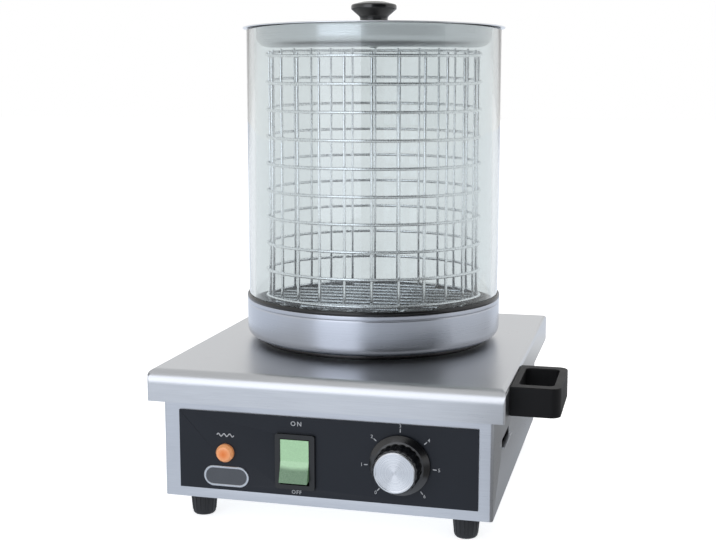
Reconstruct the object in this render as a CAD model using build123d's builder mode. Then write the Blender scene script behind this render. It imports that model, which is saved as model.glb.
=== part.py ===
from build123d import *
import os
from math import atan2, cos, hypot, pi, radians, sin, tan

# Hot dog steamer: a folded steel base with heater and controls, a spun steam pan on top of it,
# and a stack that lifts off by hand: steam tray, glass cylinder, wire basket and dished lid.
# Millimetres, +Z up, floor at Z = 0, operator's side at -Y.

# ---- Driving dimensions -----------------------------------------------------------------------
# Folded sheet base
SHEET = 1.2
HOUSING_WIDTH = 240.0
HOUSING_DEPTH = 269.0
HOUSING_HEIGHT = 93.6
HOUSING_BEND = 2.5
FLANGE = 14.0
COVER_SIDE_OVERHANG = 8.5
COVER_END_OVERHANG = 9.7
COVER_SKIRT = 22.7
COVER_ROUNDING = 5.0
PLATE_CLEARANCE = 0.3
VENT_LENGTH = 44.0
VENT_WIDTH = 4.0
VENT_PITCH = 11.0
VENT_ROW_COUNT = 5
LOUVRE_LENGTH = 40.0
LOUVRE_HEIGHT = 5.0
LOUVRE_LIP = 2.5
LOUVRE_ALONG = -71.0
LOUVRE_UP = 43.0

# Feet
FOOT_HEIGHT = 19.0
FOOT_TOP_RADIUS = 9.5
FOOT_TREAD_RADIUS = 8.0
FOOT_LIP = 1.0
FOOT_INSET = 21.5
FOOT_STUD_LENGTH = 10.0

# Pan, heater and their fastenings
GLASS_RADIUS = 100.0
GLASS_WALL = 5.5
GLASS_HEIGHT = 223.0
PAN_SHEET = 1.0
PAN_HEIGHT = 31.0
PAN_BEND = 5.5
PAN_CLEARANCE = 0.5
PAN_OFFSET = 15.4
GASKET_HEIGHT = 3.4
GASKET_INNER_RADIUS = 86.0
GASKET_OUTER_RADIUS = 91.0
COVER_HOLE_RADIUS = 72.0
PAN_STUD_CIRCLE = 79.0
PAN_STUD_LENGTH = 14.0
HEATER_RADIUS = 68.0
HEATER_THICKNESS = 6.0
ELEMENT_RADIUS = 46.0
ELEMENT_GAP = 24.0
ELEMENT_WIDTH = 9.0
ELEMENT_HEIGHT = 7.0
ELEMENT_PIN_SIZE = 4.0
ELEMENT_PIN_LENGTH = 14.0
CLAMP_LENGTH = 112.0
CLAMP_WIDTH = 18.0
CLAMP_THICKNESS = 2.0
HEATER_STUD_LENGTH = 24.0
CUTOUT_RADIUS = 8.0
CUTOUT_HEIGHT = 8.0
CUTOUT_OFFSET = 26.0
BULB_RADIUS = 3.0
BULB_LENGTH = 40.0
BULB_OFFSET = -26.0
BULB_CLIP_LENGTH = 14.0
BULB_CLIP_WIDTH = 12.0
CAPILLARY_SIZE = 1.8
CAPILLARY_STUB = 7.5
CAPILLARY_SETBACK = 5.0
CAPILLARY_RUN = 30.0
SEAL_CLEARANCE = 0.3
SEAL_RISE = 3.2
SEAL_LIP = 1.1

# Steam tray, basket and lid
TRAY_HEIGHT = 17.8
TRAY_SHEET = 1.0
TRAY_CLEARANCE = 0.9
TRAY_LEG_INSET = 2.5
TRAY_LEG_WIDTH = 14.0
TRAY_HOLE_RADIUS = 4.0
TRAY_INNER_HOLES_COUNT = 8
TRAY_INNER_HOLES_RADIUS = 30.0
TRAY_OUTER_HOLES_COUNT = 16
TRAY_OUTER_HOLES_RADIUS = 62.0
BASKET_WIRE = 2.3
BASKET_GAP = 9.9
BASKET_RING_COUNT = 10
BASKET_PITCH = 20.3
BASKET_RING_SIDES = 24
BASKET_UPRIGHT_COUNT = 26
BASKET_FIRST_UPRIGHT = 5.6
BASKET_STANDOFF = 17.0
BASKET_FLOOR_COUNT = 9
BASKET_FLOOR_MARGIN = 8.6
LEG_WIRES_APART = 6
WIRE_GAP = 0.02
LID_SHEET = 1.0
LID_OVERHANG = 2.8
LID_DISH_CLEARANCE = 2.0
LID_DEPTH = 17.5
LID_BEND = 8.0
LID_KNOB_RADIUS = 18.0
LID_KNOB_NECK_RADIUS = 11.0
LID_KNOB_HEIGHT = 37.5
LID_KNOB_CAP = 6.0
LID_KNOB_CHAMFER = 2.0

# Control panel: places are measured from the panel's middle (across) and the housing's lower edge (up)
FASCIA_WIDTH = 220.0
FASCIA_HEIGHT = 57.5
FASCIA_RAISE = 7.6
FASCIA_THICKNESS = 1.5
FASCIA_CORNER = 1.5
LAMP_ACROSS = -72.4
LAMP_UP = 35.5
LAMP_LENS_RADIUS = 6.5
LAMP_LENS_HEIGHT = 5.6
LAMP_BARREL_RADIUS = 5.0
LAMP_LENS_CHAMFER = 1.8
LAMP_BODY_LENGTH = 24.0
LAMP_CLIP = 16.0
SWITCH_ACROSS = -20.0
SWITCH_UP = 33.0
SWITCH_FRAME_WIDTH = 29.2
SWITCH_FRAME_HEIGHT = 40.0
SWITCH_FRAME_THICKNESS = 2.5
SWITCH_FRAME_CORNER = 2.0
SWITCH_BODY_WIDTH = 26.0
SWITCH_BODY_HEIGHT = 37.0
SWITCH_BODY_DEPTH = 26.0
SWITCH_POCKET_DEPTH = 15.5
ROCKER_WIDTH = 20.8
ROCKER_HALF_HEIGHT = 15.4
ROCKER_PROUD = 4.3
ROCKER_PIVOT_DEPTH = 1.5
ROCKER_TILT = 9.0
ROCKER_TAIL = 6.0
ROCKER_TAIL_HALF_HEIGHT = 11.0
ROCKER_SIDE_GAP = 0.3
ROCKER_END_GAP = 0.35
ROCKER_PIN_RADIUS = 1.5
ROCKER_PIN_LENGTH = 1.4
TERMINAL_WIDTH = 6.3
TERMINAL_THICKNESS = 0.8
TERMINAL_LENGTH = 8.0
KNOB_ACROSS = 55.5
KNOB_UP = 36.4
KNOB_GAP = 1.0
KNOB_SKIRT_RADIUS = 21.5
KNOB_RADIUS = 16.2
KNOB_LENGTH = 16.5
KNOB_SKIRT_THICKNESS = 3.4
KNOB_SKIRT_EDGE = 0.8
KNOB_HOLLOW_RADIUS = 11.0
KNOB_HOLLOW_DEPTH = 6.0
KNOB_CAP_RADIUS = 15.0
KNOB_CAP_THICKNESS = 2.0
SHAFT_RADIUS = 3.0
SHAFT_FLAT = 1.0
SHAFT_OUT = 15.0
SHAFT_IN = 14.0
THERMOSTAT_WIDTH = 44.0
THERMOSTAT_HEIGHT = 34.0
THERMOSTAT_DEPTH = 26.0
BUSH_RADIUS = 5.0
BUSH_OUT = 5.0
BUSH_NUT_WIDTH = 14.0
BUSH_NUT_HEIGHT = 3.0

# Side handle
HANDLE_REACH = 34.5
HANDLE_LENGTH = 68.0
HANDLE_HEIGHT = 20.5
HANDLE_FROM_FRONT = 55.6
HANDLE_RAISE = 0.4
HANDLE_ROUNDING = 7.0
HANDLE_BACK_WALL = 5.0
HANDLE_GRIP_WALL = 5.5
HANDLE_END_WALL = 9.0
HANDLE_POCKET_ROUNDING = 4.0

# Mains entry
GLAND_ACROSS = 70.0
GLAND_UP = 26.0
GLAND_BORE_RADIUS = 4.0
GLAND_THREAD_RADIUS = 7.5
GLAND_THREAD_LENGTH = 10.0
GLAND_HEX_WIDTH = 19.0
GLAND_HEX_HEIGHT = 5.0
GLAND_DOME_RADIUS = 7.5
GLAND_DOME_LENGTH = 13.0
GLAND_NUT_HEIGHT = 4.0
BLOCK_WIDTH = 36.0
BLOCK_DEPTH = 20.0
BLOCK_HEIGHT = 16.0
BLOCK_POLES = 3
BLOCK_WAY_WIDTH = 6.0
BLOCK_WAY_HEIGHT = 5.0
BLOCK_FROM_BACK = 52.0
EARTH_STUD_LENGTH = 14.0
EARTH_STUD_ACROSS = 34.0

# Fasteners and fits: threads, barrels and small rounds are drawn as prisms with a few flat sides.
# M4, M5 and M6 are thread radii, and a nut's width is across its flats.
THREAD_SIDES = 8
BARREL_SIDES = 24
ROUND_SIDES = 36
M4 = 2.0
M4_NUT_WIDTH = 7.0
M4_NUT_HEIGHT = 3.2
M5 = 2.5
M5_NUT_WIDTH = 8.0
M5_NUT_HEIGHT = 4.0
M6 = 3.0
M6_NUT_WIDTH = 10.0
M6_NUT_HEIGHT = 4.8
HOLE_PLAY = 0.3
THREAD_PLAY = 0.05
PIN_PLAY = 0.05
HEAD_RADIUS = 3.75
WIDE_HEAD_RADIUS = 4.75
HEAD_HEIGHT = 2.2
BOTTOM_SCREW_LENGTH = 6.0
COVER_STUD_LENGTH = 9.0
HANDLE_SCREW_LENGTH = 12.0
LID_SCREW_LENGTH = 14.0

# ---- Levels and centres that follow from them -------------------------------------------------
HOUSING_BOTTOM = FOOT_HEIGHT
HOUSING_TOP = HOUSING_BOTTOM + HOUSING_HEIGHT
COVER_TOP = HOUSING_TOP + SHEET
COVER_WIDTH = HOUSING_WIDTH + 2 * COVER_SIDE_OVERHANG
COVER_DEPTH = HOUSING_DEPTH + 2 * COVER_END_OVERHANG
PLATE_TOP = HOUSING_BOTTOM + SHEET

KNOB_REACH = FASCIA_THICKNESS + KNOB_GAP + KNOB_LENGTH + KNOB_CAP_THICKNESS
GLAND_REACH = GLAND_HEX_HEIGHT + GLAND_DOME_LENGTH
BASE_X = -HANDLE_REACH / 2
BASE_Y = (KNOB_REACH - GLAND_REACH) / 2
PAN_X = BASE_X
PAN_Y = BASE_Y + PAN_OFFSET

PAN_RADIUS = GLASS_RADIUS + PAN_CLEARANCE + PAN_SHEET
PAN_BOTTOM = COVER_TOP + GASKET_HEIGHT
PAN_FLOOR = PAN_BOTTOM + PAN_SHEET
PAN_RIM = PAN_BOTTOM + PAN_HEIGHT
TRAY_TOP = PAN_FLOOR + TRAY_HEIGHT
TRAY_RADIUS = PAN_RADIUS - PAN_SHEET - TRAY_CLEARANCE
TRAY_LEG_RADIUS = PAN_RADIUS - PAN_BEND - TRAY_LEG_INSET
GLASS_TOP = TRAY_TOP + GLASS_HEIGHT
GLASS_INNER_RADIUS = GLASS_RADIUS - GLASS_WALL
BASKET_RADIUS = GLASS_INNER_RADIUS - BASKET_GAP
BASKET_BOTTOM = TRAY_TOP + BASKET_STANDOFF
BASKET_TOP = BASKET_BOTTOM + (BASKET_RING_COUNT - 1) * BASKET_PITCH
RING_INNER_FLATS = (BASKET_RADIUS - BASKET_WIRE / 2) * cos(pi / BASKET_RING_SIDES)
UPRIGHT_RADIUS = RING_INNER_FLATS - BASKET_WIRE / 2 - WIRE_GAP
LID_RADIUS = GLASS_RADIUS + LID_OVERHANG
LID_DISH_RADIUS = GLASS_INNER_RADIUS - LID_DISH_CLEARANCE
LID_DISH_BOTTOM = GLASS_TOP - LID_DEPTH
LID_DISH_FLOOR = LID_DISH_BOTTOM + LID_SHEET
HEATER_BOTTOM = PAN_BOTTOM - HEATER_THICKNESS
ELEMENT_BOTTOM = HEATER_BOTTOM - ELEMENT_HEIGHT
CLAMP_BOTTOM = ELEMENT_BOTTOM - CLAMP_THICKNESS

# The rocker's pressed end sets how tall its pocket is.
ROCKER_END_PROUD = ROCKER_PROUD + ROCKER_HALF_HEIGHT * tan(radians(ROCKER_TILT))
ROCKER_CORNER = hypot(ROCKER_HALF_HEIGHT, ROCKER_END_PROUD)
ROCKER_PRESSED_ANGLE = atan2(ROCKER_END_PROUD, ROCKER_HALF_HEIGHT) - radians(ROCKER_TILT)
POCKET_HEIGHT = 2 * (ROCKER_CORNER * cos(ROCKER_PRESSED_ANGLE) + ROCKER_END_GAP)
POCKET_WIDTH = ROCKER_WIDTH + 2 * ROCKER_SIDE_GAP

# ---- Planes -----------------------------------------------------------------------------------
FRONT = Plane(
    origin=(BASE_X, BASE_Y - HOUSING_DEPTH / 2, HOUSING_BOTTOM), x_dir=(1, 0, 0), z_dir=(0, -1, 0)
)
BACK = Plane(
    origin=(BASE_X, BASE_Y + HOUSING_DEPTH / 2, HOUSING_BOTTOM), x_dir=(-1, 0, 0), z_dir=(0, 1, 0)
)
RIGHT = Plane(
    origin=(BASE_X + HOUSING_WIDTH / 2, BASE_Y, HOUSING_BOTTOM), x_dir=(0, 1, 0), z_dir=(1, 0, 0)
)
SKIRT_RIGHT = Plane(
    origin=(
        BASE_X + COVER_WIDTH / 2,
        BASE_Y - COVER_DEPTH / 2 + HANDLE_FROM_FRONT,
        COVER_TOP - COVER_SKIRT + HANDLE_RAISE,
    ),
    x_dir=(0, 1, 0),
    z_dir=(1, 0, 0),
)
PANEL = FRONT.offset(FASCIA_THICKNESS)
BASE_AXIS = (BASE_X, BASE_Y)
PAN_AXIS = (PAN_X, PAN_Y)
STACK_AXIS = Axis((PAN_X, PAN_Y, 0), (0, 0, 1))
RISING = (Align.CENTER, Align.CENTER, Align.MIN)
HANGING = (Align.CENTER, Align.CENTER, Align.MAX)

# ---- Where fasteners sit ----------------------------------------------------------------------
FOOT_PLACES = [
    (BASE_X + sx * (HOUSING_WIDTH / 2 - FOOT_INSET), BASE_Y + sy * (HOUSING_DEPTH / 2 - FOOT_INSET))
    for sx in (-1, 1)
    for sy in (-1, 1)
]
FLANGE_MIDDLE_X = HOUSING_WIDTH / 2 - (SHEET + FLANGE) / 2
FLANGE_PLACES = [
    (BASE_X + sx * FLANGE_MIDDLE_X, BASE_Y + sy * HOUSING_DEPTH / 4) for sx in (-1, 1) for sy in (-1, 1)
]
PAN_STUD_PLACES = [
    (PAN_X + PAN_STUD_CIRCLE * cos(radians(turn)), PAN_Y + PAN_STUD_CIRCLE * sin(radians(turn)))
    for turn in (45, 135, 225, 315)
]
HANDLE_SCREW_SPREAD = HANDLE_LENGTH - HANDLE_END_WALL


def draft(end_face, wide, narrow, length, sides):
    """Narrows a prism of so many sides to a smaller corner radius at one end, along a length."""
    chamfer(
        end_face.edges(), length=(wide - narrow) * cos(pi / sides), length2=length, reference=end_face
    )


def half_section(points):
    """The half-section of a piece turned about the pan's axis; points are (radius, height)."""
    plane = Plane(origin=(PAN_X, PAN_Y, 0), x_dir=(1, 0, 0), z_dir=(0, -1, 0))
    with BuildSketch(plane) as section:
        with BuildLine():
            Polyline(*points, close=True)
        make_face()
    return section.sketch


# ---- Sheet-metal base -------------------------------------------------------------------------
with BuildPart() as base_housing:
    with BuildSketch(Plane.XY.offset(HOUSING_BOTTOM)):
        with Locations(BASE_AXIS):
            RectangleRounded(HOUSING_WIDTH, HOUSING_DEPTH, HOUSING_BEND)
    extrude(amount=HOUSING_HEIGHT)
    # Between the two inward flanges the wrap is open to its sheet thickness.
    with BuildSketch(Plane.XY.offset(HOUSING_BOTTOM + 2 * SHEET)):
        with Locations(BASE_AXIS):
            Rectangle(HOUSING_WIDTH - 2 * SHEET, HOUSING_DEPTH - 2 * SHEET)
    extrude(amount=HOUSING_HEIGHT - 3 * SHEET, mode=Mode.SUBTRACT)
    with BuildSketch(Plane.XY.offset(HOUSING_BOTTOM)):
        with Locations(BASE_AXIS):
            Rectangle(HOUSING_WIDTH - 2 * FLANGE, HOUSING_DEPTH - 2 * FLANGE)
    extrude(amount=HOUSING_HEIGHT, mode=Mode.SUBTRACT)
    # The bottom plate lies flush inside the wrap, under the lower flange.
    with BuildSketch(Plane.XY.offset(HOUSING_BOTTOM)):
        with Locations(BASE_AXIS):
            Rectangle(HOUSING_WIDTH - 2 * SHEET, HOUSING_DEPTH - 2 * SHEET)
    extrude(amount=SHEET, mode=Mode.SUBTRACT)
    # Flange holes, for the plate screws below and the cover studs above
    with BuildSketch(Plane.XY.offset(HOUSING_BOTTOM)):
        with Locations(*FLANGE_PLACES):
            RegularPolygon(M4 + HOLE_PLAY, THREAD_SIDES, major_radius=False)
    extrude(amount=HOUSING_HEIGHT, mode=Mode.SUBTRACT)
    # Panel cut-outs
    with BuildSketch(FRONT):
        with Locations((LAMP_ACROSS, LAMP_UP)):
            RegularPolygon(LAMP_BARREL_RADIUS + HOLE_PLAY, BARREL_SIDES)
        with Locations((KNOB_ACROSS, KNOB_UP)):
            RegularPolygon(BUSH_RADIUS + HOLE_PLAY, BARREL_SIDES)
        with Locations((SWITCH_ACROSS, SWITCH_UP)):
            Rectangle(SWITCH_BODY_WIDTH + 2 * HOLE_PLAY, SWITCH_BODY_HEIGHT + 2 * HOLE_PLAY)
    extrude(amount=-SHEET, mode=Mode.SUBTRACT)
    with BuildSketch(BACK):
        with Locations((GLAND_ACROSS, GLAND_UP)):
            RegularPolygon(GLAND_THREAD_RADIUS + HOLE_PLAY, BARREL_SIDES)
    extrude(amount=-SHEET, mode=Mode.SUBTRACT)
    # Side louvre: a slot with its lower edge lipped outwards
    with BuildSketch(RIGHT):
        with Locations((LOUVRE_ALONG, LOUVRE_UP)):
            Rectangle(LOUVRE_LENGTH, LOUVRE_HEIGHT)
    extrude(amount=-SHEET, mode=Mode.SUBTRACT)
    with BuildSketch(RIGHT):
        with Locations((LOUVRE_ALONG, LOUVRE_UP - (LOUVRE_HEIGHT + SHEET) / 2)):
            Rectangle(LOUVRE_LENGTH, SHEET)
    extrude(amount=LOUVRE_LIP)

with BuildPart() as top_cover:
    with BuildSketch(Plane.XY.offset(COVER_TOP - COVER_SKIRT)):
        with Locations(BASE_AXIS):
            Rectangle(COVER_WIDTH, COVER_DEPTH)
    extrude(amount=COVER_SKIRT)
    fillet(top_cover.faces().sort_by(Axis.Z)[-1].edges(), COVER_ROUNDING)
    offset(amount=-SHEET, openings=top_cover.faces().sort_by(Axis.Z)[0])
    with BuildSketch(Plane.XY.offset(COVER_TOP)):
        with Locations(PAN_AXIS):
            Circle(COVER_HOLE_RADIUS)
        with Locations(*PAN_STUD_PLACES):
            RegularPolygon(M5 + HOLE_PLAY, THREAD_SIDES, major_radius=False)
    extrude(amount=-SHEET, mode=Mode.SUBTRACT)
    with BuildSketch(SKIRT_RIGHT):
        with Locations((0, HANDLE_HEIGHT / 2)):
            with GridLocations(HANDLE_SCREW_SPREAD, 0, 2, 1):
                RegularPolygon(M4 + HOLE_PLAY, THREAD_SIDES, major_radius=False)
    extrude(amount=-SHEET, mode=Mode.SUBTRACT)

with BuildPart() as bottom_plate:
    with BuildSketch(Plane.XY.offset(HOUSING_BOTTOM)):
        with Locations(BASE_AXIS):
            Rectangle(
                HOUSING_WIDTH - 2 * (SHEET + PLATE_CLEARANCE), HOUSING_DEPTH - 2 * (SHEET + PLATE_CLEARANCE)
            )
            with GridLocations(2 * VENT_LENGTH, VENT_PITCH, 2, VENT_ROW_COUNT):
                Rectangle(VENT_LENGTH, VENT_WIDTH, mode=Mode.SUBTRACT)
        with Locations(*FOOT_PLACES):
            RegularPolygon(M5 + HOLE_PLAY, THREAD_SIDES, major_radius=False, mode=Mode.SUBTRACT)
        with Locations(*FLANGE_PLACES):
            RegularPolygon(M4 + HOLE_PLAY, THREAD_SIDES, major_radius=False, mode=Mode.SUBTRACT)
    extrude(amount=SHEET)

with BuildPart() as bottom_screws:
    with BuildSketch(Plane.XY.offset(HOUSING_BOTTOM)):
        with Locations(*FLANGE_PLACES):
            RegularPolygon(HEAD_RADIUS, THREAD_SIDES)
    extrude(amount=-HEAD_HEIGHT)
    with BuildSketch(Plane.XY.offset(HOUSING_BOTTOM)):
        with Locations(*FLANGE_PLACES):
            RegularPolygon(M4, THREAD_SIDES)
    extrude(amount=BOTTOM_SCREW_LENGTH)

with BuildPart() as cover_studs:
    with BuildSketch(Plane.XY.offset(HOUSING_TOP)):
        with Locations(*FLANGE_PLACES):
            RegularPolygon(M4, THREAD_SIDES)
    extrude(amount=-COVER_STUD_LENGTH)

with BuildPart() as cover_nuts:
    with BuildSketch(Plane.XY.offset(HOUSING_TOP - SHEET)):
        with Locations(*FLANGE_PLACES):
            RegularPolygon(M4_NUT_WIDTH / 2, 6, major_radius=False)
            RegularPolygon(M4 + THREAD_PLAY, THREAD_SIDES, major_radius=False, mode=Mode.SUBTRACT)
    extrude(amount=-M4_NUT_HEIGHT)

# ---- Feet -------------------------------------------------------------------------------------
feet = {}
for foot_name, foot_place in zip(
    ("foot_front_left", "foot_back_left", "foot_front_right", "foot_back_right"), FOOT_PLACES
):
    with BuildPart() as foot:
        with BuildSketch(Plane.XY.offset(FOOT_HEIGHT)):
            with Locations(foot_place):
                RegularPolygon(FOOT_TOP_RADIUS, BARREL_SIDES)
        extrude(amount=-FOOT_HEIGHT)
        tread = foot.faces().sort_by(Axis.Z)[0]
        draft(tread, FOOT_TOP_RADIUS, FOOT_TREAD_RADIUS, FOOT_HEIGHT - FOOT_LIP, BARREL_SIDES)
    feet[foot_name] = foot

with BuildPart() as foot_studs:
    with BuildSketch(Plane.XY.offset(FOOT_HEIGHT)):
        with Locations(*FOOT_PLACES):
            RegularPolygon(M5, THREAD_SIDES)
    extrude(amount=FOOT_STUD_LENGTH)

with BuildPart() as foot_nuts:
    with BuildSketch(Plane.XY.offset(PLATE_TOP)):
        with Locations(*FOOT_PLACES):
            RegularPolygon(M5_NUT_WIDTH / 2, 6, major_radius=False)
            RegularPolygon(M5 + THREAD_PLAY, THREAD_SIDES, major_radius=False, mode=Mode.SUBTRACT)
    extrude(amount=M5_NUT_HEIGHT)

# ---- Pan and heater ---------------------------------------------------------------------------
with BuildPart() as pan_gasket:
    with BuildSketch(Plane.XY.offset(COVER_TOP)):
        with Locations(PAN_AXIS):
            RegularPolygon(GASKET_OUTER_RADIUS, ROUND_SIDES)
            RegularPolygon(GASKET_INNER_RADIUS, ROUND_SIDES, mode=Mode.SUBTRACT)
    extrude(amount=GASKET_HEIGHT)

with BuildPart() as steam_pan:
    pan_inner = PAN_RADIUS - PAN_SHEET
    revolve(
        half_section(
            [
                (0, PAN_BOTTOM),
                (PAN_RADIUS - PAN_BEND, PAN_BOTTOM),
                (PAN_RADIUS, PAN_BOTTOM + PAN_BEND),
                (PAN_RADIUS, PAN_RIM),
                (pan_inner, PAN_RIM),
                (pan_inner, PAN_BOTTOM + PAN_BEND),
                (PAN_RADIUS - PAN_BEND, PAN_FLOOR),
                (0, PAN_FLOOR),
            ]
        ),
        axis=STACK_AXIS,
    )

with BuildPart() as glass_seal:
    with BuildSketch(Plane.XY.offset(PAN_RIM)):
        with Locations(PAN_AXIS):
            RegularPolygon(PAN_RADIUS + SEAL_LIP, 2 * BARREL_SIDES)
            RegularPolygon(
                GLASS_RADIUS + SEAL_CLEARANCE, 2 * BARREL_SIDES, major_radius=False, mode=Mode.SUBTRACT
            )
    extrude(amount=SEAL_RISE)

with BuildPart() as pan_studs:
    with BuildSketch(Plane.XY.offset(PAN_BOTTOM)):
        with Locations(*PAN_STUD_PLACES):
            RegularPolygon(M5, THREAD_SIDES)
    extrude(amount=-PAN_STUD_LENGTH)

with BuildPart() as pan_nuts:
    with BuildSketch(Plane.XY.offset(HOUSING_TOP)):
        with Locations(*PAN_STUD_PLACES):
            RegularPolygon(M5_NUT_WIDTH / 2, 6, major_radius=False)
            RegularPolygon(M5 + THREAD_PLAY, THREAD_SIDES, major_radius=False, mode=Mode.SUBTRACT)
    extrude(amount=-M5_NUT_HEIGHT)

with BuildPart() as heater_plate:
    with BuildSketch(Plane.XY.offset(PAN_BOTTOM)):
        with Locations(PAN_AXIS):
            RegularPolygon(HEATER_RADIUS, ROUND_SIDES)
            RegularPolygon(M6 + HOLE_PLAY, THREAD_SIDES, major_radius=False, mode=Mode.SUBTRACT)
    extrude(amount=-HEATER_THICKNESS)

# A flat ring with a gap at the back, where its two connection pins hang down
element_pin_x = ELEMENT_GAP / 2 + ELEMENT_WIDTH
element_pin_y = (ELEMENT_RADIUS**2 - element_pin_x**2) ** 0.5
with BuildPart() as heater_element:
    with BuildSketch(Plane.XY.offset(HEATER_BOTTOM)):
        with Locations(PAN_AXIS):
            RegularPolygon(ELEMENT_RADIUS + ELEMENT_WIDTH / 2, BARREL_SIDES)
            RegularPolygon(ELEMENT_RADIUS - ELEMENT_WIDTH / 2, BARREL_SIDES, mode=Mode.SUBTRACT)
        with Locations((PAN_X, PAN_Y + ELEMENT_RADIUS)):
            Rectangle(ELEMENT_GAP, ELEMENT_RADIUS, mode=Mode.SUBTRACT)
    extrude(amount=-ELEMENT_HEIGHT)
    with Locations((PAN_X, PAN_Y + element_pin_y, ELEMENT_BOTTOM)):
        with GridLocations(2 * element_pin_x, 0, 2, 1):
            Box(ELEMENT_PIN_SIZE, ELEMENT_PIN_SIZE, ELEMENT_PIN_LENGTH, align=HANGING)

with BuildPart() as heater_clamp:
    with BuildSketch(Plane.XY.offset(ELEMENT_BOTTOM)):
        with Locations(PAN_AXIS):
            Rectangle(CLAMP_LENGTH, CLAMP_WIDTH)
            RegularPolygon(M6 + HOLE_PLAY, THREAD_SIDES, major_radius=False, mode=Mode.SUBTRACT)
    extrude(amount=-CLAMP_THICKNESS)

with BuildPart() as heater_stud:
    with BuildSketch(Plane.XY.offset(PAN_BOTTOM)):
        with Locations(PAN_AXIS):
            RegularPolygon(M6, THREAD_SIDES)
    extrude(amount=-HEATER_STUD_LENGTH)

with BuildPart() as heater_nut:
    with BuildSketch(Plane.XY.offset(CLAMP_BOTTOM)):
        with Locations(PAN_AXIS):
            RegularPolygon(M6_NUT_WIDTH / 2, 6, major_radius=False)
            RegularPolygon(M6 + THREAD_PLAY, THREAD_SIDES, major_radius=False, mode=Mode.SUBTRACT)
    extrude(amount=-M6_NUT_HEIGHT)

with BuildPart() as thermal_cutout:
    with BuildSketch(Plane.XY.offset(HEATER_BOTTOM)):
        with Locations((PAN_X, PAN_Y + CUTOUT_OFFSET)):
            RegularPolygon(CUTOUT_RADIUS, BARREL_SIDES)
    extrude(amount=-CUTOUT_HEIGHT)
    with Locations((PAN_X, PAN_Y + CUTOUT_OFFSET, HEATER_BOTTOM - CUTOUT_HEIGHT)):
        with GridLocations(CUTOUT_RADIUS, 0, 2, 1):
            Box(TERMINAL_THICKNESS, TERMINAL_WIDTH, TERMINAL_LENGTH, align=HANGING)

bulb_y = PAN_Y + BULB_OFFSET
bulb_z = HEATER_BOTTOM - BULB_RADIUS - WIRE_GAP
bulb_plane = Plane(origin=(PAN_X, bulb_y, bulb_z), x_dir=(0, 1, 0), z_dir=(1, 0, 0))
with BuildPart() as sensor_bulb:
    with BuildSketch(bulb_plane):
        RegularPolygon(BULB_RADIUS, THREAD_SIDES)
    extrude(amount=BULB_LENGTH / 2, both=True)

with BuildPart() as bulb_clip:
    with Locations((PAN_X, bulb_y, HEATER_BOTTOM)):
        Box(BULB_CLIP_LENGTH, BULB_CLIP_WIDTH, 2 * BULB_RADIUS + CLAMP_THICKNESS, align=HANGING)
    with BuildSketch(bulb_plane):
        RegularPolygon(BULB_RADIUS + THREAD_PLAY, THREAD_SIDES)
    extrude(amount=BULB_CLIP_LENGTH, both=True, mode=Mode.SUBTRACT)

# ---- Control panel ----------------------------------------------------------------------------
with BuildPart() as fascia_panel:
    with BuildSketch(FRONT):
        with Locations((0, FASCIA_RAISE + FASCIA_HEIGHT / 2)):
            RectangleRounded(FASCIA_WIDTH, FASCIA_HEIGHT, FASCIA_CORNER)
        with Locations((LAMP_ACROSS, LAMP_UP)):
            RegularPolygon(LAMP_BARREL_RADIUS + HOLE_PLAY, BARREL_SIDES, mode=Mode.SUBTRACT)
        with Locations((KNOB_ACROSS, KNOB_UP)):
            RegularPolygon(BUSH_RADIUS + HOLE_PLAY, BARREL_SIDES, mode=Mode.SUBTRACT)
        with Locations((SWITCH_ACROSS, SWITCH_UP)):
            Rectangle(
                SWITCH_BODY_WIDTH + 2 * HOLE_PLAY, SWITCH_BODY_HEIGHT + 2 * HOLE_PLAY, mode=Mode.SUBTRACT
            )
    extrude(amount=FASCIA_THICKNESS)

with BuildPart() as lamp_lens:
    with BuildSketch(PANEL):
        with Locations((LAMP_ACROSS, LAMP_UP)):
            RegularPolygon(LAMP_LENS_RADIUS, BARREL_SIDES)
    extrude(amount=LAMP_LENS_HEIGHT)
    chamfer(lamp_lens.faces().sort_by(Axis.Y)[0].edges(), LAMP_LENS_CHAMFER)

with BuildPart() as lamp_body:
    with BuildSketch(PANEL):
        with Locations((LAMP_ACROSS, LAMP_UP)):
            RegularPolygon(LAMP_BARREL_RADIUS, BARREL_SIDES)
    extrude(amount=-LAMP_BODY_LENGTH)

with BuildPart() as lamp_clip:
    with BuildSketch(FRONT.offset(-SHEET)):
        with Locations((LAMP_ACROSS, LAMP_UP)):
            Rectangle(LAMP_CLIP, LAMP_CLIP)
            RegularPolygon(LAMP_BARREL_RADIUS + THREAD_PLAY, BARREL_SIDES, mode=Mode.SUBTRACT)
    extrude(amount=-TERMINAL_THICKNESS)

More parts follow.
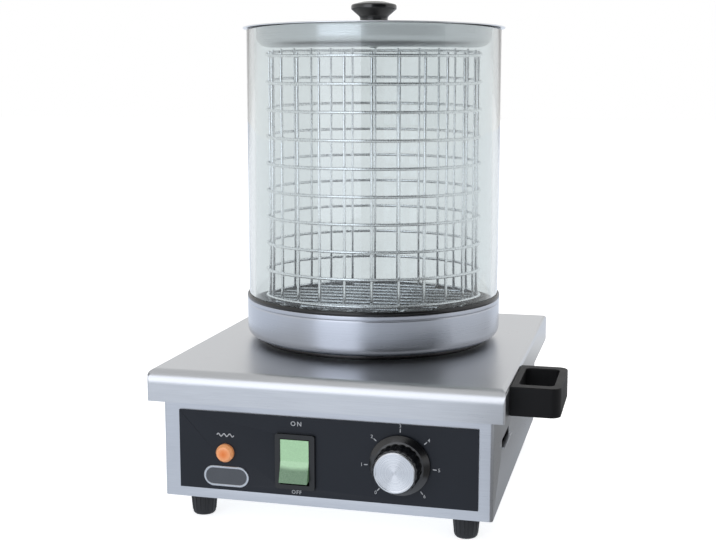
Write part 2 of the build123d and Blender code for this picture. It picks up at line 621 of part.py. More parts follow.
with BuildPart() as switch_housing:
    with BuildSketch(PANEL):
        with Locations((SWITCH_ACROSS, SWITCH_UP)):
            RectangleRounded(SWITCH_FRAME_WIDTH, SWITCH_FRAME_HEIGHT, SWITCH_FRAME_CORNER)
    extrude(amount=SWITCH_FRAME_THICKNESS)
    with BuildSketch(PANEL):
        with Locations((SWITCH_ACROSS, SWITCH_UP)):
            Rectangle(SWITCH_BODY_WIDTH, SWITCH_BODY_HEIGHT)
    extrude(amount=-SWITCH_BODY_DEPTH)
    with BuildSketch(PANEL.offset(SWITCH_FRAME_THICKNESS)):
        with Locations((SWITCH_ACROSS, SWITCH_UP)):
            Rectangle(POCKET_WIDTH, POCKET_HEIGHT)
    extrude(amount=-SWITCH_POCKET_DEPTH, mode=Mode.SUBTRACT)
    pivot = PANEL.from_local_coords((SWITCH_ACROSS, SWITCH_UP, -ROCKER_PIVOT_DEPTH))
    with BuildSketch(Plane(origin=pivot, x_dir=PANEL.z_dir, z_dir=-PANEL.x_dir)):
        RegularPolygon(ROCKER_PIN_RADIUS + PIN_PLAY, BARREL_SIDES, major_radius=False)
    extrude(amount=POCKET_WIDTH / 2 + ROCKER_PIN_LENGTH, both=True, mode=Mode.SUBTRACT)

with BuildPart() as switch_terminals:
    with BuildSketch(PANEL.offset(-SWITCH_BODY_DEPTH)):
        with Locations((SWITCH_ACROSS, SWITCH_UP)):
            with GridLocations(SWITCH_BODY_WIDTH / 2, SWITCH_BODY_HEIGHT / 2, 2, 2):
                Rectangle(TERMINAL_WIDTH, TERMINAL_THICKNESS)
    extrude(amount=-TERMINAL_LENGTH)

# The rocker is drawn level, then tipped about its pins so that its upper half lies pressed (on).
rocker_plane = Plane(
    origin=pivot,
    x_dir=Vector(0, -cos(radians(ROCKER_TILT)), sin(radians(ROCKER_TILT))),
    z_dir=(-1, 0, 0),
)
with BuildPart() as rocker:
    with BuildSketch(rocker_plane):
        with BuildLine():
            Polyline(
                (ROCKER_PROUD, 0),
                (ROCKER_END_PROUD, ROCKER_HALF_HEIGHT),
                (-ROCKER_TAIL, ROCKER_TAIL_HALF_HEIGHT),
                (-ROCKER_TAIL, -ROCKER_TAIL_HALF_HEIGHT),
                (ROCKER_END_PROUD, -ROCKER_HALF_HEIGHT),
                close=True,
            )
        make_face()
    extrude(amount=ROCKER_WIDTH / 2, both=True)
    with BuildSketch(rocker_plane):
        RegularPolygon(ROCKER_PIN_RADIUS, BARREL_SIDES)
    extrude(amount=POCKET_WIDTH / 2 + ROCKER_PIN_LENGTH - ROCKER_SIDE_GAP, both=True)

with BuildPart() as thermostat_body:
    with BuildSketch(FRONT.offset(-SHEET)):
        with Locations((KNOB_ACROSS, KNOB_UP)):
            Rectangle(THERMOSTAT_WIDTH, THERMOSTAT_HEIGHT)
    extrude(amount=-THERMOSTAT_DEPTH)
    with BuildSketch(FRONT.offset(-SHEET)):
        with Locations((KNOB_ACROSS, KNOB_UP)):
            RegularPolygon(BUSH_RADIUS, BARREL_SIDES)
    extrude(amount=SHEET + FASCIA_THICKNESS + BUSH_OUT)
    with BuildSketch(PANEL.offset(BUSH_OUT)):
        with Locations((KNOB_ACROSS, KNOB_UP)):
            RegularPolygon(SHAFT_RADIUS + PIN_PLAY, BARREL_SIDES, major_radius=False)
    extrude(amount=-(BUSH_OUT + SHAFT_IN + PLATE_CLEARANCE), mode=Mode.SUBTRACT)

with BuildPart() as thermostat_nut:
    with BuildSketch(PANEL):
        with Locations((KNOB_ACROSS, KNOB_UP)):
            RegularPolygon(BUSH_NUT_WIDTH / 2, 6, major_radius=False)
            RegularPolygon(BUSH_RADIUS + THREAD_PLAY, BARREL_SIDES, mode=Mode.SUBTRACT)
    extrude(amount=BUSH_NUT_HEIGHT)

knob_back = KNOB_GAP
knob_front = KNOB_GAP + KNOB_LENGTH


def shaft_section(radius, flat_depth, plane):
    """The D of a spindle with one flat, on a plane square to it."""
    with BuildSketch(plane) as section:
        with Locations((KNOB_ACROSS, KNOB_UP)):
            RegularPolygon(radius, BARREL_SIDES)
        with Locations((KNOB_ACROSS, KNOB_UP + radius - flat_depth)):
            Rectangle(2 * radius, radius, align=(Align.CENTER, Align.MIN), mode=Mode.SUBTRACT)
    return section.sketch


with BuildPart() as thermostat_shaft:
    with BuildSketch(PANEL.offset(-SHAFT_IN)):
        with Locations((KNOB_ACROSS, KNOB_UP)):
            RegularPolygon(SHAFT_RADIUS, BARREL_SIDES)
    extrude(amount=SHAFT_IN + BUSH_OUT)
    extrude(shaft_section(SHAFT_RADIUS, SHAFT_FLAT, PANEL.offset(BUSH_OUT)), amount=SHAFT_OUT - BUSH_OUT)

with BuildPart() as thermostat_knob:
    with BuildSketch(PANEL.offset(knob_back)):
        with Locations((KNOB_ACROSS, KNOB_UP)):
            RegularPolygon(KNOB_SKIRT_RADIUS, ROUND_SIDES)
    extrude(amount=KNOB_SKIRT_THICKNESS)
    skirt_front = thermostat_knob.faces().sort_by(Axis.Y)[0]
    draft(skirt_front, KNOB_SKIRT_RADIUS, KNOB_RADIUS, KNOB_SKIRT_THICKNESS - KNOB_SKIRT_EDGE, ROUND_SIDES)
    with BuildSketch(PANEL.offset(knob_back + KNOB_SKIRT_THICKNESS)):
        with Locations((KNOB_ACROSS, KNOB_UP)):
            RegularPolygon(KNOB_RADIUS, ROUND_SIDES)
    extrude(amount=KNOB_LENGTH - KNOB_SKIRT_THICKNESS)
    with BuildSketch(PANEL.offset(knob_back)):
        with Locations((KNOB_ACROSS, KNOB_UP)):
            RegularPolygon(KNOB_HOLLOW_RADIUS, BARREL_SIDES)
    extrude(amount=KNOB_HOLLOW_DEPTH, mode=Mode.SUBTRACT)
    extrude(
        shaft_section(
            SHAFT_RADIUS + THREAD_PLAY, SHAFT_FLAT, PANEL.offset(knob_back + KNOB_HOLLOW_DEPTH)
        ),
        amount=SHAFT_OUT - knob_back - KNOB_HOLLOW_DEPTH + THREAD_PLAY,
        mode=Mode.SUBTRACT,
    )

with BuildPart() as knob_cap:
    with BuildSketch(PANEL.offset(knob_front)):
        with Locations((KNOB_ACROSS, KNOB_UP)):
            RegularPolygon(KNOB_CAP_RADIUS, ROUND_SIDES)
    extrude(amount=KNOB_CAP_THICKNESS)

# Capillary from the bulb's end, down past the element and forward to the back of the thermostat
thermostat_back = PANEL.from_local_coords(
    (KNOB_ACROSS + THERMOSTAT_WIDTH / 4, KNOB_UP, -FASCIA_THICKNESS - SHEET - THERMOSTAT_DEPTH)
)
bulb_end = Vector(PAN_X + BULB_LENGTH / 2, bulb_y, bulb_z)
below_clamp = CLAMP_BOTTOM - ELEMENT_HEIGHT
with BuildPart() as capillary:
    with BuildLine() as capillary_route:
        Polyline(
            bulb_end,
            bulb_end + Vector(CAPILLARY_STUB, 0, 0),
            (bulb_end.X + CAPILLARY_STUB, bulb_y - CAPILLARY_SETBACK, below_clamp),
            (thermostat_back.X, bulb_y - CAPILLARY_RUN, below_clamp),
            (thermostat_back.X, (bulb_y + thermostat_back.Y) / 2, thermostat_back.Z),
            thermostat_back,
        )
    with BuildSketch(Plane(origin=bulb_end, z_dir=(1, 0, 0))):
        Rectangle(CAPILLARY_SIZE, CAPILLARY_SIZE)
    sweep(path=capillary_route.wires()[0], transition=Transition.RIGHT)

# ---- Side handle ------------------------------------------------------------------------------
handle_pocket_out = HANDLE_REACH - HANDLE_GRIP_WALL
with BuildPart() as side_handle:
    with BuildSketch(Plane.XY.offset(SKIRT_RIGHT.origin.Z)):
        with Locations((SKIRT_RIGHT.origin.X + HANDLE_REACH / 2, SKIRT_RIGHT.origin.Y)):
            Rectangle(HANDLE_REACH, HANDLE_LENGTH)
    extrude(amount=HANDLE_HEIGHT)
    fillet(side_handle.edges().filter_by(Axis.Z).group_by(Axis.X)[-1], HANDLE_ROUNDING)
    with BuildSketch(Plane.XY.offset(SKIRT_RIGHT.origin.Z)):
        pocket_middle = SKIRT_RIGHT.origin.X + (HANDLE_BACK_WALL + handle_pocket_out) / 2
        with Locations((pocket_middle, SKIRT_RIGHT.origin.Y)):
            RectangleRounded(
                handle_pocket_out - HANDLE_BACK_WALL,
                HANDLE_LENGTH - 2 * HANDLE_END_WALL,
                HANDLE_POCKET_ROUNDING,
            )
    extrude(amount=HANDLE_HEIGHT, mode=Mode.SUBTRACT)
    with BuildSketch(SKIRT_RIGHT):
        with Locations((0, HANDLE_HEIGHT / 2)):
            with GridLocations(HANDLE_SCREW_SPREAD, 0, 2, 1):
                RegularPolygon(M4 + THREAD_PLAY, THREAD_SIDES, major_radius=False)
    extrude(amount=HANDLE_SCREW_LENGTH, mode=Mode.SUBTRACT)

with BuildPart() as handle_screws:
    with BuildSketch(SKIRT_RIGHT.offset(-SHEET)):
        with Locations((0, HANDLE_HEIGHT / 2)):
            with GridLocations(HANDLE_SCREW_SPREAD, 0, 2, 1):
                RegularPolygon(HEAD_RADIUS, THREAD_SIDES)
    extrude(amount=-HEAD_HEIGHT)
    with BuildSketch(SKIRT_RIGHT.offset(-SHEET)):
        with Locations((0, HANDLE_HEIGHT / 2)):
            with GridLocations(HANDLE_SCREW_SPREAD, 0, 2, 1):
                RegularPolygon(M4, THREAD_SIDES)
    extrude(amount=HANDLE_SCREW_LENGTH)

# ---- Mains entry ------------------------------------------------------------------------------
with BuildPart() as cable_gland:
    with BuildSketch(BACK.offset(-GLAND_THREAD_LENGTH)):
        with Locations((GLAND_ACROSS, GLAND_UP)):
            RegularPolygon(GLAND_THREAD_RADIUS, BARREL_SIDES)
    extrude(amount=GLAND_THREAD_LENGTH)
    with BuildSketch(BACK):
        with Locations((GLAND_ACROSS, GLAND_UP)):
            RegularPolygon(GLAND_HEX_WIDTH / 2, 6, major_radius=False)
    extrude(amount=GLAND_HEX_HEIGHT)
    with BuildSketch(BACK.offset(GLAND_HEX_HEIGHT)):
        with Locations((GLAND_ACROSS, GLAND_UP)):
            RegularPolygon(GLAND_DOME_RADIUS, BARREL_SIDES)
    extrude(amount=GLAND_DOME_LENGTH)
    with BuildSketch(BACK.offset(GLAND_REACH)):
        with Locations((GLAND_ACROSS, GLAND_UP)):
            Circle(GLAND_BORE_RADIUS)
    extrude(amount=-(GLAND_REACH + GLAND_THREAD_LENGTH), mode=Mode.SUBTRACT)

with BuildPart() as gland_nut:
    with BuildSketch(BACK.offset(-SHEET)):
        with Locations((GLAND_ACROSS, GLAND_UP)):
            RegularPolygon(GLAND_HEX_WIDTH / 2, 6, major_radius=False)
            RegularPolygon(GLAND_THREAD_RADIUS + THREAD_PLAY, BARREL_SIDES, mode=Mode.SUBTRACT)
    extrude(amount=-GLAND_NUT_HEIGHT)

block_centre = (BASE_X - GLAND_ACROSS, BASE_Y + HOUSING_DEPTH / 2 - BLOCK_FROM_BACK)
with BuildPart() as terminal_block:
    with Locations((*block_centre, PLATE_TOP)):
        Box(BLOCK_WIDTH, BLOCK_DEPTH, BLOCK_HEIGHT, align=RISING)
    # One wire way through the block for each pole
    with Locations((*block_centre, PLATE_TOP + BLOCK_HEIGHT / 2)):
        with GridLocations(BLOCK_WIDTH / BLOCK_POLES, 0, BLOCK_POLES, 1):
            Box(BLOCK_WAY_WIDTH, BLOCK_DEPTH, BLOCK_WAY_HEIGHT, mode=Mode.SUBTRACT)

with BuildPart() as earth_stud:
    with BuildSketch(Plane.XY.offset(PLATE_TOP)):
        with Locations((block_centre[0] + EARTH_STUD_ACROSS, block_centre[1])):
            RegularPolygon(M4, THREAD_SIDES)
    extrude(amount=EARTH_STUD_LENGTH)

with BuildPart() as earth_nut:
    with BuildSketch(Plane.XY.offset(PLATE_TOP + M4_NUT_HEIGHT)):
        with Locations((block_centre[0] + EARTH_STUD_ACROSS, block_centre[1])):
            RegularPolygon(M4_NUT_WIDTH / 2, 6, major_radius=False)
            RegularPolygon(M4 + THREAD_PLAY, THREAD_SIDES, major_radius=False, mode=Mode.SUBTRACT)
    extrude(amount=M4_NUT_HEIGHT)

# ---- Lift-off stack ---------------------------------------------------------------------------
with BuildPart() as steam_tray:
    with BuildSketch(Plane.XY.offset(TRAY_TOP)):
        with Locations(PAN_AXIS):
            RegularPolygon(TRAY_RADIUS, 2 * ROUND_SIDES)
            with PolarLocations(TRAY_INNER_HOLES_RADIUS, TRAY_INNER_HOLES_COUNT):
                RegularPolygon(TRAY_HOLE_RADIUS, THREAD_SIDES, mode=Mode.SUBTRACT)
            with PolarLocations(TRAY_OUTER_HOLES_RADIUS, TRAY_OUTER_HOLES_COUNT):
                RegularPolygon(TRAY_HOLE_RADIUS, THREAD_SIDES, mode=Mode.SUBTRACT)
    extrude(amount=-TRAY_SHEET)
    # Four folded legs stand on the pan's floor
    with BuildSketch(Plane.XY.offset(TRAY_TOP - TRAY_SHEET)):
        with Locations(PAN_AXIS):
            with PolarLocations(TRAY_LEG_RADIUS, 4):
                Rectangle(TRAY_SHEET, TRAY_LEG_WIDTH, align=(Align.MAX, Align.CENTER))
    extrude(amount=-(TRAY_HEIGHT - TRAY_SHEET))

with BuildPart() as glass_cylinder:
    with BuildSketch(Plane.XY.offset(TRAY_TOP)):
        with Locations(PAN_AXIS):
            Circle(GLASS_RADIUS)
            Circle(GLASS_INNER_RADIUS, mode=Mode.SUBTRACT)
    extrude(amount=GLASS_HEIGHT)

with BuildPart() as basket_rings:
    for ring in range(BASKET_RING_COUNT):
        with BuildSketch(Plane.XY.offset(BASKET_BOTTOM + ring * BASKET_PITCH - BASKET_WIRE / 2)):
            with Locations(PAN_AXIS):
                RegularPolygon(BASKET_RADIUS + BASKET_WIRE / 2, BASKET_RING_SIDES)
                RegularPolygon(BASKET_RADIUS - BASKET_WIRE / 2, BASKET_RING_SIDES, mode=Mode.SUBTRACT)
        extrude(amount=BASKET_WIRE)

# The uprights stand just inside the rings and end a little above the top one.
with BuildPart() as basket_uprights:
    with BuildSketch(Plane.XY.offset(BASKET_BOTTOM - BASKET_WIRE / 2)):
        with Locations(PAN_AXIS):
            with PolarLocations(UPRIGHT_RADIUS, BASKET_UPRIGHT_COUNT, BASKET_FIRST_UPRIGHT):
                RegularPolygon(BASKET_WIRE / 2, 6, rotation=30)
    extrude(amount=BASKET_TOP - BASKET_BOTTOM + 1.5 * BASKET_WIRE)

# The floor grid hangs under the lowest ring: one layer of wires across, a second layer under it.
floor_upper = BASKET_BOTTOM - BASKET_WIRE - WIRE_GAP
floor_lower = floor_upper - BASKET_WIRE - WIRE_GAP


def floor_wire_length(offset_from_middle):
    """A chord of the basket's circle."""
    return 2 * (BASKET_RADIUS**2 - offset_from_middle**2) ** 0.5


# The outermost floor wires lie a margin inside the basket's circle, and the rest are spaced between.
floor_pitch = 2 * (BASKET_RADIUS - BASKET_FLOOR_MARGIN) / (BASKET_FLOOR_COUNT - 1)
floor_offsets = [
    (index - (BASKET_FLOOR_COUNT - 1) / 2) * floor_pitch for index in range(BASKET_FLOOR_COUNT)
]
with BuildPart() as basket_floor:
    for across in floor_offsets:
        with Locations((PAN_X, PAN_Y + across, floor_upper)):
            Box(floor_wire_length(across), BASKET_WIRE, BASKET_WIRE)
        with Locations((PAN_X + across, PAN_Y, floor_lower)):
            Box(BASKET_WIRE, floor_wire_length(across), BASKET_WIRE)

with BuildPart() as basket_legs:
    leg_top = floor_lower - BASKET_WIRE / 2
    with Locations((PAN_X, PAN_Y, leg_top)):
        with GridLocations(LEG_WIRES_APART * floor_pitch, LEG_WIRES_APART * floor_pitch, 2, 2):
            Box(BASKET_WIRE, BASKET_WIRE, leg_top - TRAY_TOP, align=HANGING)

with BuildPart() as lid_dish:
    revolve(
        half_section(
            [
                (0, LID_DISH_BOTTOM),
                (LID_DISH_RADIUS - LID_BEND, LID_DISH_BOTTOM),
                (LID_DISH_RADIUS, LID_DISH_BOTTOM + LID_BEND),
                (LID_DISH_RADIUS, GLASS_TOP),
                (LID_RADIUS, GLASS_TOP),
                (LID_RADIUS, GLASS_TOP + LID_SHEET),
                (LID_DISH_RADIUS - LID_SHEET, GLASS_TOP + LID_SHEET),
                (LID_DISH_RADIUS - LID_SHEET, LID_DISH_BOTTOM + LID_BEND),
                (LID_DISH_RADIUS - LID_BEND, LID_DISH_FLOOR),
                (0, LID_DISH_FLOOR),
            ]
        ),
        axis=STACK_AXIS,
    )
    with BuildSketch(Plane.XY.offset(LID_DISH_BOTTOM)):
        with Locations(PAN_AXIS):
            RegularPolygon(M5 + HOLE_PLAY, THREAD_SIDES, major_radius=False)
    extrude(amount=LID_SHEET, mode=Mode.SUBTRACT)

lid_knob_top = LID_DISH_FLOOR + LID_KNOB_HEIGHT
with BuildPart() as lid_knob:
    with BuildSketch(Plane.XY.offset(lid_knob_top)):
        with Locations(PAN_AXIS):
            RegularPolygon(LID_KNOB_RADIUS, ROUND_SIDES)
    extrude(amount=-2 * LID_KNOB_CAP)
    chamfer(lid_knob.faces().sort_by(Axis.Z)[-1].edges(), LID_KNOB_CHAMFER)
    cap_underside = lid_knob.faces().sort_by(Axis.Z)[0]
    draft(cap_underside, LID_KNOB_RADIUS, LID_KNOB_NECK_RADIUS, LID_KNOB_CAP, ROUND_SIDES)
    with BuildSketch(Plane.XY.offset(LID_DISH_FLOOR)):
        with Locations(PAN_AXIS):
            RegularPolygon(LID_KNOB_NECK_RADIUS, ROUND_SIDES)
    extrude(amount=LID_KNOB_HEIGHT - 2 * LID_KNOB_CAP)
    with BuildSketch(Plane.XY.offset(LID_DISH_FLOOR)):
        with Locations(PAN_AXIS):
            RegularPolygon(M5 + THREAD_PLAY, THREAD_SIDES, major_radius=False)
    extrude(amount=LID_SCREW_LENGTH, mode=Mode.SUBTRACT)

with BuildPart() as lid_knob_screw:
    with BuildSketch(Plane.XY.offset(LID_DISH_BOTTOM)):
        with Locations(PAN_AXIS):
            RegularPolygon(WIDE_HEAD_RADIUS, THREAD_SIDES)
    extrude(amount=-HEAD_HEIGHT)
    with BuildSketch(Plane.XY.offset(LID_DISH_BOTTOM)):
        with Locations(PAN_AXIS):
            RegularPolygon(M5, THREAD_SIDES)
    extrude(amount=LID_SCREW_LENGTH)

# ---- Export -----------------------------------------------------------------------------------
pieces = {
    "base_housing": base_housing,
    "top_cover": top_cover,
    "bottom_plate": bottom_plate,
    "bottom_screws": bottom_screws,
    "cover_studs": cover_studs,
    "cover_nuts": cover_nuts,
    **feet,
    "foot_studs": foot_studs,
    "foot_nuts": foot_nuts,
    "pan_gasket": pan_gasket,
    "steam_pan": steam_pan,
    "glass_seal": glass_seal,
    "pan_studs": pan_studs,
    "pan_nuts": pan_nuts,
    "heater_plate": heater_plate,
    "heater_element": heater_element,
    "heater_clamp": heater_clamp,
    "heater_stud": heater_stud,
    "heater_nut": heater_nut,
    "thermal_cutout": thermal_cutout,
    "sensor_bulb": sensor_bulb,
    "bulb_clip": bulb_clip,
    "capillary": capillary,
    "fascia_panel": fascia_panel,
    "lamp_lens": lamp_lens,
    "lamp_body": lamp_body,
    "lamp_clip": lamp_clip,
    "switch_housing": switch_housing,
    "switch_terminals": switch_terminals,
    "rocker": rocker,
    "thermostat_body": thermostat_body,
    "thermostat_nut": thermostat_nut,
    "thermostat_shaft": thermostat_shaft,
    "thermostat_knob": thermostat_knob,
    "knob_cap": knob_cap,
    "side_handle": side_handle,
    "handle_screws": handle_screws,
    "cable_gland": cable_gland,
    "gland_nut": gland_nut,
    "terminal_block": terminal_block,
    "earth_stud": earth_stud,
    "earth_nut": earth_nut,
    "steam_tray": steam_tray,
    "glass_cylinder": glass_cylinder,
    "basket_rings": basket_rings,
    "basket_uprights": basket_uprights,
    "basket_floor": basket_floor,
    "basket_legs": basket_legs,
    "lid_dish": lid_dish,
    "lid_knob": lid_knob,
    "lid_knob_screw": lid_knob_screw,
}
os.makedirs("parts", exist_ok=True)
for name, piece in pieces.items():
    piece.part.label = name
    export_step(piece.part, f"parts/{name}.step")
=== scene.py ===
"""Hot dog steamer: folded steel base, spun pan, glass cylinder, wire basket and dished lid."""

import math

import bmesh
import bpy
from mathutils import Matrix, Vector


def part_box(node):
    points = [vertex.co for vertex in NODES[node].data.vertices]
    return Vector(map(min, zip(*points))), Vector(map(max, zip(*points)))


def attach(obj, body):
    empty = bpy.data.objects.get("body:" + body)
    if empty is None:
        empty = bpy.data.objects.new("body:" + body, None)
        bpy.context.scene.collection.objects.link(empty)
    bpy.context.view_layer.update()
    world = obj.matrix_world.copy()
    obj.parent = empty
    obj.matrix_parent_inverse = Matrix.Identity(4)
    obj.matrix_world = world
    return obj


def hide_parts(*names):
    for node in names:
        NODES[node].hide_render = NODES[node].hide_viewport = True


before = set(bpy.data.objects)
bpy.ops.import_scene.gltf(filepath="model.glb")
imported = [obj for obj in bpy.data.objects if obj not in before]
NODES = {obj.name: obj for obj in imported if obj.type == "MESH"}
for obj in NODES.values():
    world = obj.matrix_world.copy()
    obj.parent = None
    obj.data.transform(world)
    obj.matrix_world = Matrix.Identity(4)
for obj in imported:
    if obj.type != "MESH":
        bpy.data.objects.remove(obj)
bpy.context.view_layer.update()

MM = 0.001
UP = Vector((0, 0, 1))
OUT = Vector((0, 1, 0))
QUARTER = math.pi / 2


def box(node):
    """A CAD node's lowest and highest corners in mm."""
    low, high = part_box(node)
    return low / MM, high / MM


def middle(node):
    """The middle of a CAD node's box in mm."""
    low, high = box(node)
    return (low + high) / 2


# ---- Places that the CAD gives, in mm ---------------------------------------------------------
PAN_LOW, PAN_HIGH = box("steam_pan")
PAN_MIDDLE = middle("steam_pan")
PAN_RADIUS = (PAN_HIGH.x - PAN_LOW.x) / 2
GLASS_LOW, GLASS_HIGH = box("glass_cylinder")
GLASS_RADIUS = (GLASS_HIGH.x - GLASS_LOW.x) / 2
TRAY_LOW, TRAY_HIGH = box("steam_tray")
RINGS_LOW, RINGS_HIGH = box("basket_rings")
FLOOR_LOW, FLOOR_HIGH = box("basket_floor")
LEGS_LOW, LEGS_HIGH = box("basket_legs")
LID_LOW, LID_HIGH = box("lid_dish")
COVER_LOW, COVER_HIGH = box("top_cover")
HOUSING_LOW = box("base_housing")[0]
FASCIA_LOW, FASCIA_HIGH = box("fascia_panel")
KNOB_MIDDLE = middle("thermostat_knob")
KNOB_LOW, KNOB_HIGH = box("thermostat_knob")
LENS_LOW, LENS_HIGH = box("lamp_lens")

# Pieces are drawn in mm. STACK puts one on the pan's axis, and IN_PLACE leaves it where it is drawn.
STACK = Matrix.Translation((PAN_MIDDLE.x * MM, PAN_MIDDLE.y * MM, 0)) @ Matrix.Scale(MM, 4)
IN_PLACE = Matrix.Scale(MM, 4)


def on_panel(x, z):
    """The frame of a piece on the control panel: its Z comes out of the panel and its Y is up."""
    place = Matrix.Translation((x * MM, FASCIA_LOW.y * MM, z * MM))
    return place @ Matrix.Rotation(QUARTER, 4, "X") @ Matrix.Scale(MM, 4)


# ---- Materials --------------------------------------------------------------------------------
LOW_GRAIN, HIGH_GRAIN = 0.3, 0.7


def linear(code):
    """The linear colour of an sRGB hex value."""
    channels = [int(code[i : i + 2], 16) / 255 for i in (0, 2, 4)]
    return (*[c / 12.92 if c <= 0.04045 else ((c + 0.055) / 1.055) ** 2.4 for c in channels], 1.0)


def add(tree, kind, inputs=None, **settings):
    """Adds a node with its settings; an input is a value, a socket, or a node's first output."""
    node = tree.nodes.new(kind)
    for name, value in settings.items():
        setattr(node, name, value)
    for name, value in (inputs or {}).items():
        if isinstance(value, bpy.types.Node):
            value = value.outputs[0]
        if isinstance(value, bpy.types.NodeSocket):
            tree.links.new(value, node.inputs[name])
        else:
            node.inputs[name].default_value = value
    return node


def shader_of(name, colour, **values):
    """A new material's Principled shader, with its colour and its plain values set."""
    material = bpy.data.materials.new(name)
    material.use_nodes = True
    shader = material.node_tree.nodes["Principled BSDF"]
    shader.inputs["Base Color"].default_value = linear(colour)
    for socket, value in values.items():
        shader.inputs[socket.replace("_", " ")].default_value = value
    return material, material.node_tree, shader


def grains(tree, size, stretch=(1, 1, 1), detail=2.0):
    """Noise whose grains are a size in mm, drawn out so many times along each axis."""
    place = add(tree, "ShaderNodeTexCoord")
    scale = [1 / (size * MM * draw) for draw in stretch]
    mapped = add(tree, "ShaderNodeMapping", {"Vector": place.outputs["Object"], "Scale": scale})
    return add(tree, "ShaderNodeTexNoise", {"Vector": mapped, "Scale": 1.0, "Detail": detail})


def turning_marks(tree, centre, axis, size):
    """Rings about an axis through a centre in mm, as a spinning tool leaves, a size in mm apart."""
    place = add(tree, "ShaderNodeTexCoord")
    centred = add(
        tree, "ShaderNodeVectorMath", {0: place.outputs["Object"], 1: centre * MM}, operation="SUBTRACT"
    )
    along = add(tree, "ShaderNodeVectorMath", {0: centred, 1: axis}, operation="DOT_PRODUCT")
    sideways = Vector((1, 1, 1)) - axis
    across = add(tree, "ShaderNodeVectorMath", {0: centred, 1: sideways}, operation="MULTIPLY")
    radius = add(tree, "ShaderNodeVectorMath", {0: across}, operation="LENGTH")
    both = add(
        tree, "ShaderNodeCombineXYZ", {"X": radius.outputs["Value"], "Y": along.outputs["Value"]}
    )
    return add(
        tree,
        "ShaderNodeTexNoise",
        {"Vector": both, "Scale": 1 / (size * MM), "Detail": 2.0},
        noise_dimensions="2D",
    )


def surface(tree, shader, pattern, roughness, depth=0.0, tints=None):
    """Lets a pattern drive a shader's roughness range, its relief of a depth in mm and its two tints.

    A noise lies mostly between LOW_GRAIN and HIGH_GRAIN, so these become the ends of each range.
    """
    spread = add(
        tree,
        "ShaderNodeMapRange",
        {
            "Value": pattern,
            "From Min": LOW_GRAIN,
            "From Max": HIGH_GRAIN,
            "To Min": roughness[0],
            "To Max": roughness[1],
        },
    )
    tree.links.new(spread.outputs[0], shader.inputs["Roughness"])
    if depth:
        bump = add(tree, "ShaderNodeBump", {"Height": pattern, "Strength": 1.0, "Distance": depth * MM})
        tree.links.new(bump.outputs[0], shader.inputs["Normal"])
    if tints:
        factor = add(
            tree,
            "ShaderNodeMapRange",
            {"Value": pattern, "From Min": LOW_GRAIN, "From Max": HIGH_GRAIN},
        )
        colours = {0: factor, 6: linear(tints[0]), 7: linear(tints[1])}
        mix = add(tree, "ShaderNodeMix", colours, data_type="RGBA")
        tree.links.new(mix.outputs[2], shader.inputs["Base Color"])


def brushed_sheet(name, tints, roughness=(0.27, 0.36)):
    """Ferritic stainless sheet, belt brushed: a soft satin sheen with fine straight grain lines.

    The real lines are about 0.05 mm wide; they are drawn 0.35 mm wide so that they show.
    """
    material, tree, shader = shader_of(name, tints[0], Metallic=1.0)
    along_x = grains(tree, 0.35, (60, 1, 1))
    along_y = grains(tree, 0.35, (1, 60, 1))
    facing = add(tree, "ShaderNodeTexCoord")
    parts = add(tree, "ShaderNodeSeparateXYZ", {0: facing.outputs["Normal"]})
    side = add(tree, "ShaderNodeMath", {0: parts.outputs["X"]}, operation="ABSOLUTE")
    on_side = add(tree, "ShaderNodeMath", {0: side, 1: 0.7}, operation="GREATER_THAN")
    lines = add(tree, "ShaderNodeMix", {0: on_side, 2: along_x, 3: along_y})
    smears = grains(tree, 45.0, (1.5, 1, 1), 3.0)
    skin = add(tree, "ShaderNodeMix", {0: 0.3, 2: lines, 3: smears})
    surface(tree, shader, skin, roughness, depth=0.0016, tints=tints)
    return material


def spun_sheet(name, tints, centre, roughness=(0.26, 0.34)):
    """Austenitic stainless spun over a former: its rings stretch each highlight along the wall."""
    material, tree, shader = shader_of(
        name, tints[0], Metallic=1.0, Anisotropic=0.75, Anisotropic_Rotation=0.25
    )
    around = add(tree, "ShaderNodeTangent", direction_type="UV_MAP", uv_map="around")
    tree.links.new(around.outputs[0], shader.inputs["Tangent"])
    rings = turning_marks(tree, centre, UP, 0.5)
    smears = grains(tree, 35.0, (1, 1, 1), 3.0)
    skin = add(tree, "ShaderNodeMix", {0: 0.3, 2: rings, 3: smears})
    surface(tree, shader, skin, roughness, depth=0.0015, tints=tints)
    return material


def drawn_wire(name, tints):
    """Stainless wire, drawn and electropolished, with faint die lines; how light it shows comes from
    its tints: painted sheen on the hoops, painted shade on the floor.

    The real lines are about 0.05 mm wide; they are drawn 0.8 mm wide so that they show.
    """
    material, tree, shader = shader_of(name, tints[0], Metallic=1.0)
    lines = grains(tree, 0.8, (1, 1, 6))
    surface(tree, shader, lines, (0.22, 0.32), depth=0.002, tints=tints)
    return material


def turned_aluminium(name, tints, centre):
    """Aluminium cap with a diamond-turned face: concentric lines that throw a fan of light.

    The real lines are about 0.1 mm apart; they are drawn 0.35 mm apart so that they show.
    """
    material, tree, shader = shader_of(
        name, tints[0], Metallic=1.0, Anisotropic=0.9, Anisotropic_Rotation=0.25
    )
    around = add(tree, "ShaderNodeTangent", direction_type="UV_MAP", uv_map="around")
    tree.links.new(around.outputs[0], shader.inputs["Tangent"])
    rings = turning_marks(tree, centre, OUT, 0.35)
    surface(tree, shader, rings, (0.24, 0.34), depth=0.004, tints=tints)
    return material


def plated(name, tints, roughness=(0.25, 0.42), size=1.5):
    """Plated or bare small metal part: a fine mottle from the plating bath."""
    material, tree, shader = shader_of(name, tints[0], Metallic=1.0)
    surface(tree, shader, grains(tree, size), roughness, depth=0.004, tints=tints)
    return material


